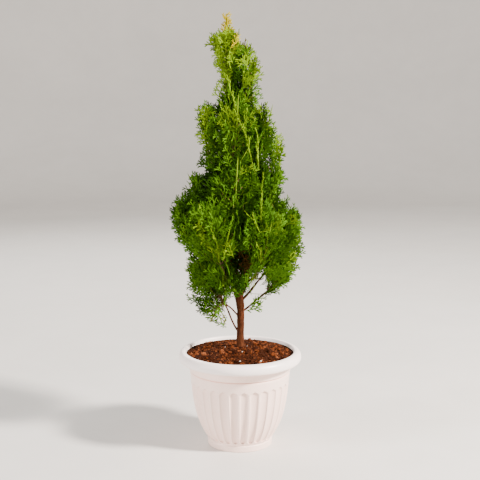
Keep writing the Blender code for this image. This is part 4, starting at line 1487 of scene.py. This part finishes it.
    def grow_spire(self) -> None:
        """Set the slim golden sprays that close the leader: each leans out less than the one below."""
        rng = random.Random("spire")
        for index in range(self.spire_sprays):
            share = index / (self.spire_sprays - 1)
            lean = math.radians((1.0 - share) * rng.uniform(24.0, 40.0))
            side = Quaternion(UP, index * GOLDEN_ANGLE * 2) @ Vector((1.0, 0.0, 0.0))
            along = (UP * math.cos(lean) + side * math.sin(lean)).normalized()
            size = 0.0250 - 0.0040 * share
            root = self.route[-1] - UP * (size + (1.0 - share) * 0.045) + side * 0.001
            across = square_to(Vector((1.0, rng.uniform(-0.5, 0.5), 0.0)), along)
            tint = Tint.GOLD if share > rng.uniform(0.3, 0.8) else Tint.LIME
            self.fronds.append(FrondSpot(root, along, across, size, tint))


@dataclass
class Foliage:
    """Every mass of foliage, laid out in fronds on its stem, shoots and fine twigs."""

    sizes: tuple[float, ...] = (0.021, 0.030, 0.042)
    variants: int = 6
    spine_step: float = 0.0070
    spine_depth: float = 0.001

    def __post_init__(self) -> None:
        """Share out the crown, grow the shoots and make the frond templates."""
        routes = [stem_route(mass, 25) for mass in MASSES]
        limbs = [(TRUNK_LINE, [station[3] for station in TRUNK_STATIONS])]
        limbs += [(bough_route(bough, 6), [bough.foot_radius] * 6) for bough in BOUGHS]
        self.space = CrownSpace([line[::4] for line in routes], limbs)
        self.masses = [Growth(number, line, self.space) for number, line in enumerate(routes)]
        self.templates = {size: [FrondTemplate(size, 100 * number + variant)
                                 for variant in range(self.variants)]
                          for number, size in enumerate(self.sizes)}

    def grow_spines(self) -> None:
        """Grow the bright edge-on sprays of the crown's front, each step in the mass that holds it."""
        rng = random.Random("spines")
        for spine in SPINES:
            rib = []
            for x, height in spine:
                middle, half = crown_at(height)
                depth = self.space.depth * math.sqrt(max(half**2 - (x - middle) ** 2, 0.0))
                rib.append(Vector((x, self.spine_depth - depth, height)))
            steps = max(2, round(length_of(rib) / self.spine_step))
            for step in range(steps):
                at, way = along_route(rib, step / steps)
                across = square_to(Vector((rng.gauss(0.0, 0.16), 1.0 if step % 2 else -1.0, 0.0)), way)
                along = (way + Vector((rng.gauss(0.0, 0.10), rng.uniform(-0.25, 0.0), 0.0))).normalized()
                size = rng.uniform(0.0145, 0.0205) * (1.0 - 0.25 * step / steps)
                # Painted light: most of these fronds get the light lime tint for the light they catch
                # edge-on.
                tint = Tint.LIME if rng.random() < 0.65 else Tint.FRESH
                self.masses[self.space.owner(at)].fronds.append(
                    FrondSpot(at, along, square_to(across, along), size, tint))
            owner = self.masses[self.space.owner(rib[0])]
            root = min((shoot.at(0.5) for shoot in owner.shoots), key=lambda foot: (foot - rib[0]).length)
            owner.twigs.append([root, root.lerp(rib[0], 0.6), *rib])

    def leaves(self, grown: Growth) -> bpy.types.Mesh:
        """Copy a template to each frond of a mass, bent and sized to it.

        Args:
            grown: The mass.

        Returns:
            The mass's leaves.
        """
        batch, rng = Batch(), random.Random(grown.mass.name + " variants")
        dealt: dict[tuple[float, int], list[FrondSpot]] = {}
        for spot in grown.fronds:
            size = min(self.sizes, key=lambda size: abs(math.log(spot.length / size)))
            dealt.setdefault((size, rng.randrange(self.variants)), []).append(spot)
        for (size, variant), group in dealt.items():
            template = self.templates[size][variant]
            scale = np.array([spot.length / size for spot in group])[:, None, None]
            bends = np.array([spot.bend for spot in group])[:, None]
            across, along, roots = (rows(getattr(spot, side) for spot in group)[:, None]
                                    for side in ("across", "along", "root"))
            local = template.points[None] * scale
            lift = local[:, :, 2] + bends * local[:, :, 1] ** 2 - 5.0 * local[:, :, 0] ** 2
            points = (roots + local[:, :, 0:1] * across + local[:, :, 1:2] * along
                      + lift[:, :, None] * np.cross(across, along))
            tints = np.array([spot.tint.index for spot in group])[:, None]
            lighter = np.where(tints < Tint.LIME.index, 1, 0) * template.tips[None]
            batch.add(points, template.triangles, tints + lighter)
        return batch.mesh()

    def twigs(self) -> None:
        """Build every stem, shoot and fine twig: brown near its foot and green beyond."""
        batch = Batch()
        for grown in self.masses:
            ribs = [[shoot.at(share) for share in np.linspace(0.0, 0.86, 7)] for shoot in grown.shoots]
            for lines, thick, thin, sides, brown in (([grown.route[:22]], 0.0019, 0.0009, 6, 0.060),
                                                     (ribs, 0.0011, 0.0006, 4, 0.014),
                                                     (grown.twigs, 0.0006, 0.0004, 3, 0.008)):
                for line in lines:
                    points, triangles = tube(line, np.linspace(thick, thin, len(line) - 2), sides)
                    far = np.linalg.norm(points[triangles].mean(axis=1) - np.array(line[0]), axis=1)
                    batch.add(points[None], triangles, (far > brown).astype(int)[None])
        finished("twigs", batch.mesh(), [TWIG, SPINE], [mass.name for mass in MASSES])

    def build(self) -> None:
        """Grow and build every mass."""
        self.grow_spines()
        for grown in self.masses:
            grown.grow_fronds()
            grown.fill()
            grown.fringe()
            if grown.mass.name == "foliage_leader":
                grown.grow_spire()
            LOG.info("%s: %d shoots, %d fronds", grown.mass.name, len(grown.shoots), len(grown.fronds))
            finished(grown.mass.name.replace("foliage", "leaves"), self.leaves(grown), LEAVES,
                     [grown.mass.name], smooth=False)
        self.twigs()


# ---------------------------------------------------------------- floor, light and camera


@dataclass
class Studio:
    """A pale floor, soft light with a warm key on the right, and the camera."""

    floor_radius: float = 3.4
    sweep_radius: float = 1.6
    wall_height: float = 2.8
    aim: Triple = (0.0, 0.0, 0.36)
    camera_place: Triple = (0.0, -1.600, 0.596)
    camera_pitch: float = math.radians(-9.03)
    lens: float = 74.8
    sensor: float = 36.0
    sky: tuple[float, ...] = (1.0, 0.95, 0.90, 1.0)
    sky_strength: float = 0.62

    def floor(self) -> None:
        """Lay the floor, which sweeps up into a wall all round."""
        sweep = [(self.floor_radius + self.sweep_radius * math.sin(turn),
                  self.sweep_radius * (1.0 - math.cos(turn))) for turn in np.linspace(0.0, math.pi / 2, 17)]
        shape = turned([(0.0, 0.0), *sweep, (self.floor_radius + self.sweep_radius, self.wall_height)], 8, 12)
        bmesh.ops.reverse_faces(shape, faces=shape.faces[:])
        floor = placed("floor", mesh_of(shape))
        floor.data.polygons.foreach_set("use_smooth", [True] * len(floor.data.polygons))
        floor.data.materials.append(FLOOR.material())

    def light(self, name: str, at: Triple, size: float, power: float, colour: Triple) -> None:
        """Hang one area light, aimed at the middle of the plant.

        Args:
            name: The light's name.
            at: Its place.
            size: The side of its square.
            power: Its power in watts.
            colour: Its colour.
        """
        lamp = bpy.data.lights.new(name, "AREA")
        lamp.size, lamp.energy, lamp.color = size, power, colour
        holder = placed(name, lamp)
        holder.location = at
        holder.rotation_euler = (Vector(self.aim) - Vector(at)).to_track_quat("-Z", "Y").to_euler()

    def build(self) -> None:
        """Lay the floor, hang the lights and place the camera."""
        self.floor()
        world = bpy.data.worlds.new("studio")
        world.use_nodes = True
        Wiring(world.node_tree).feed(world.node_tree.nodes["Background"],
                                     {"Color": self.sky, "Strength": self.sky_strength})
        bpy.context.scene.world = world
        self.light("key", (2.1, -0.9, 1.7), 0.35, 350.0, (1.0, 0.90, 0.80))
        self.light("fill", (-2.3, -1.0, 0.9), 0.6, 72.0, (1.0, 0.95, 0.92))
        self.light("back", (-0.6, 1.9, 1.5), 1.0, 36.0, (1.0, 0.96, 0.90))
        lens = bpy.data.cameras.new("camera")
        lens.lens, lens.sensor_width = self.lens, self.sensor
        camera = placed("camera", lens)
        camera.location = self.camera_place
        camera.rotation_euler = (math.pi / 2 + self.camera_pitch, 0.0, 0.0)
        bpy.context.scene.camera = camera


def main() -> None:
    """Build the plant and its studio, and note how big it came out."""
    logging.basicConfig(level=logging.INFO, format="%(asctime)s %(message)s")
    Studio().build()
    pot = FlutedPot()
    pot.build()
    PottingSoil(pot).build()
    Limbs().build()
    Foliage().build()


if __name__ == "__main__":
    main()
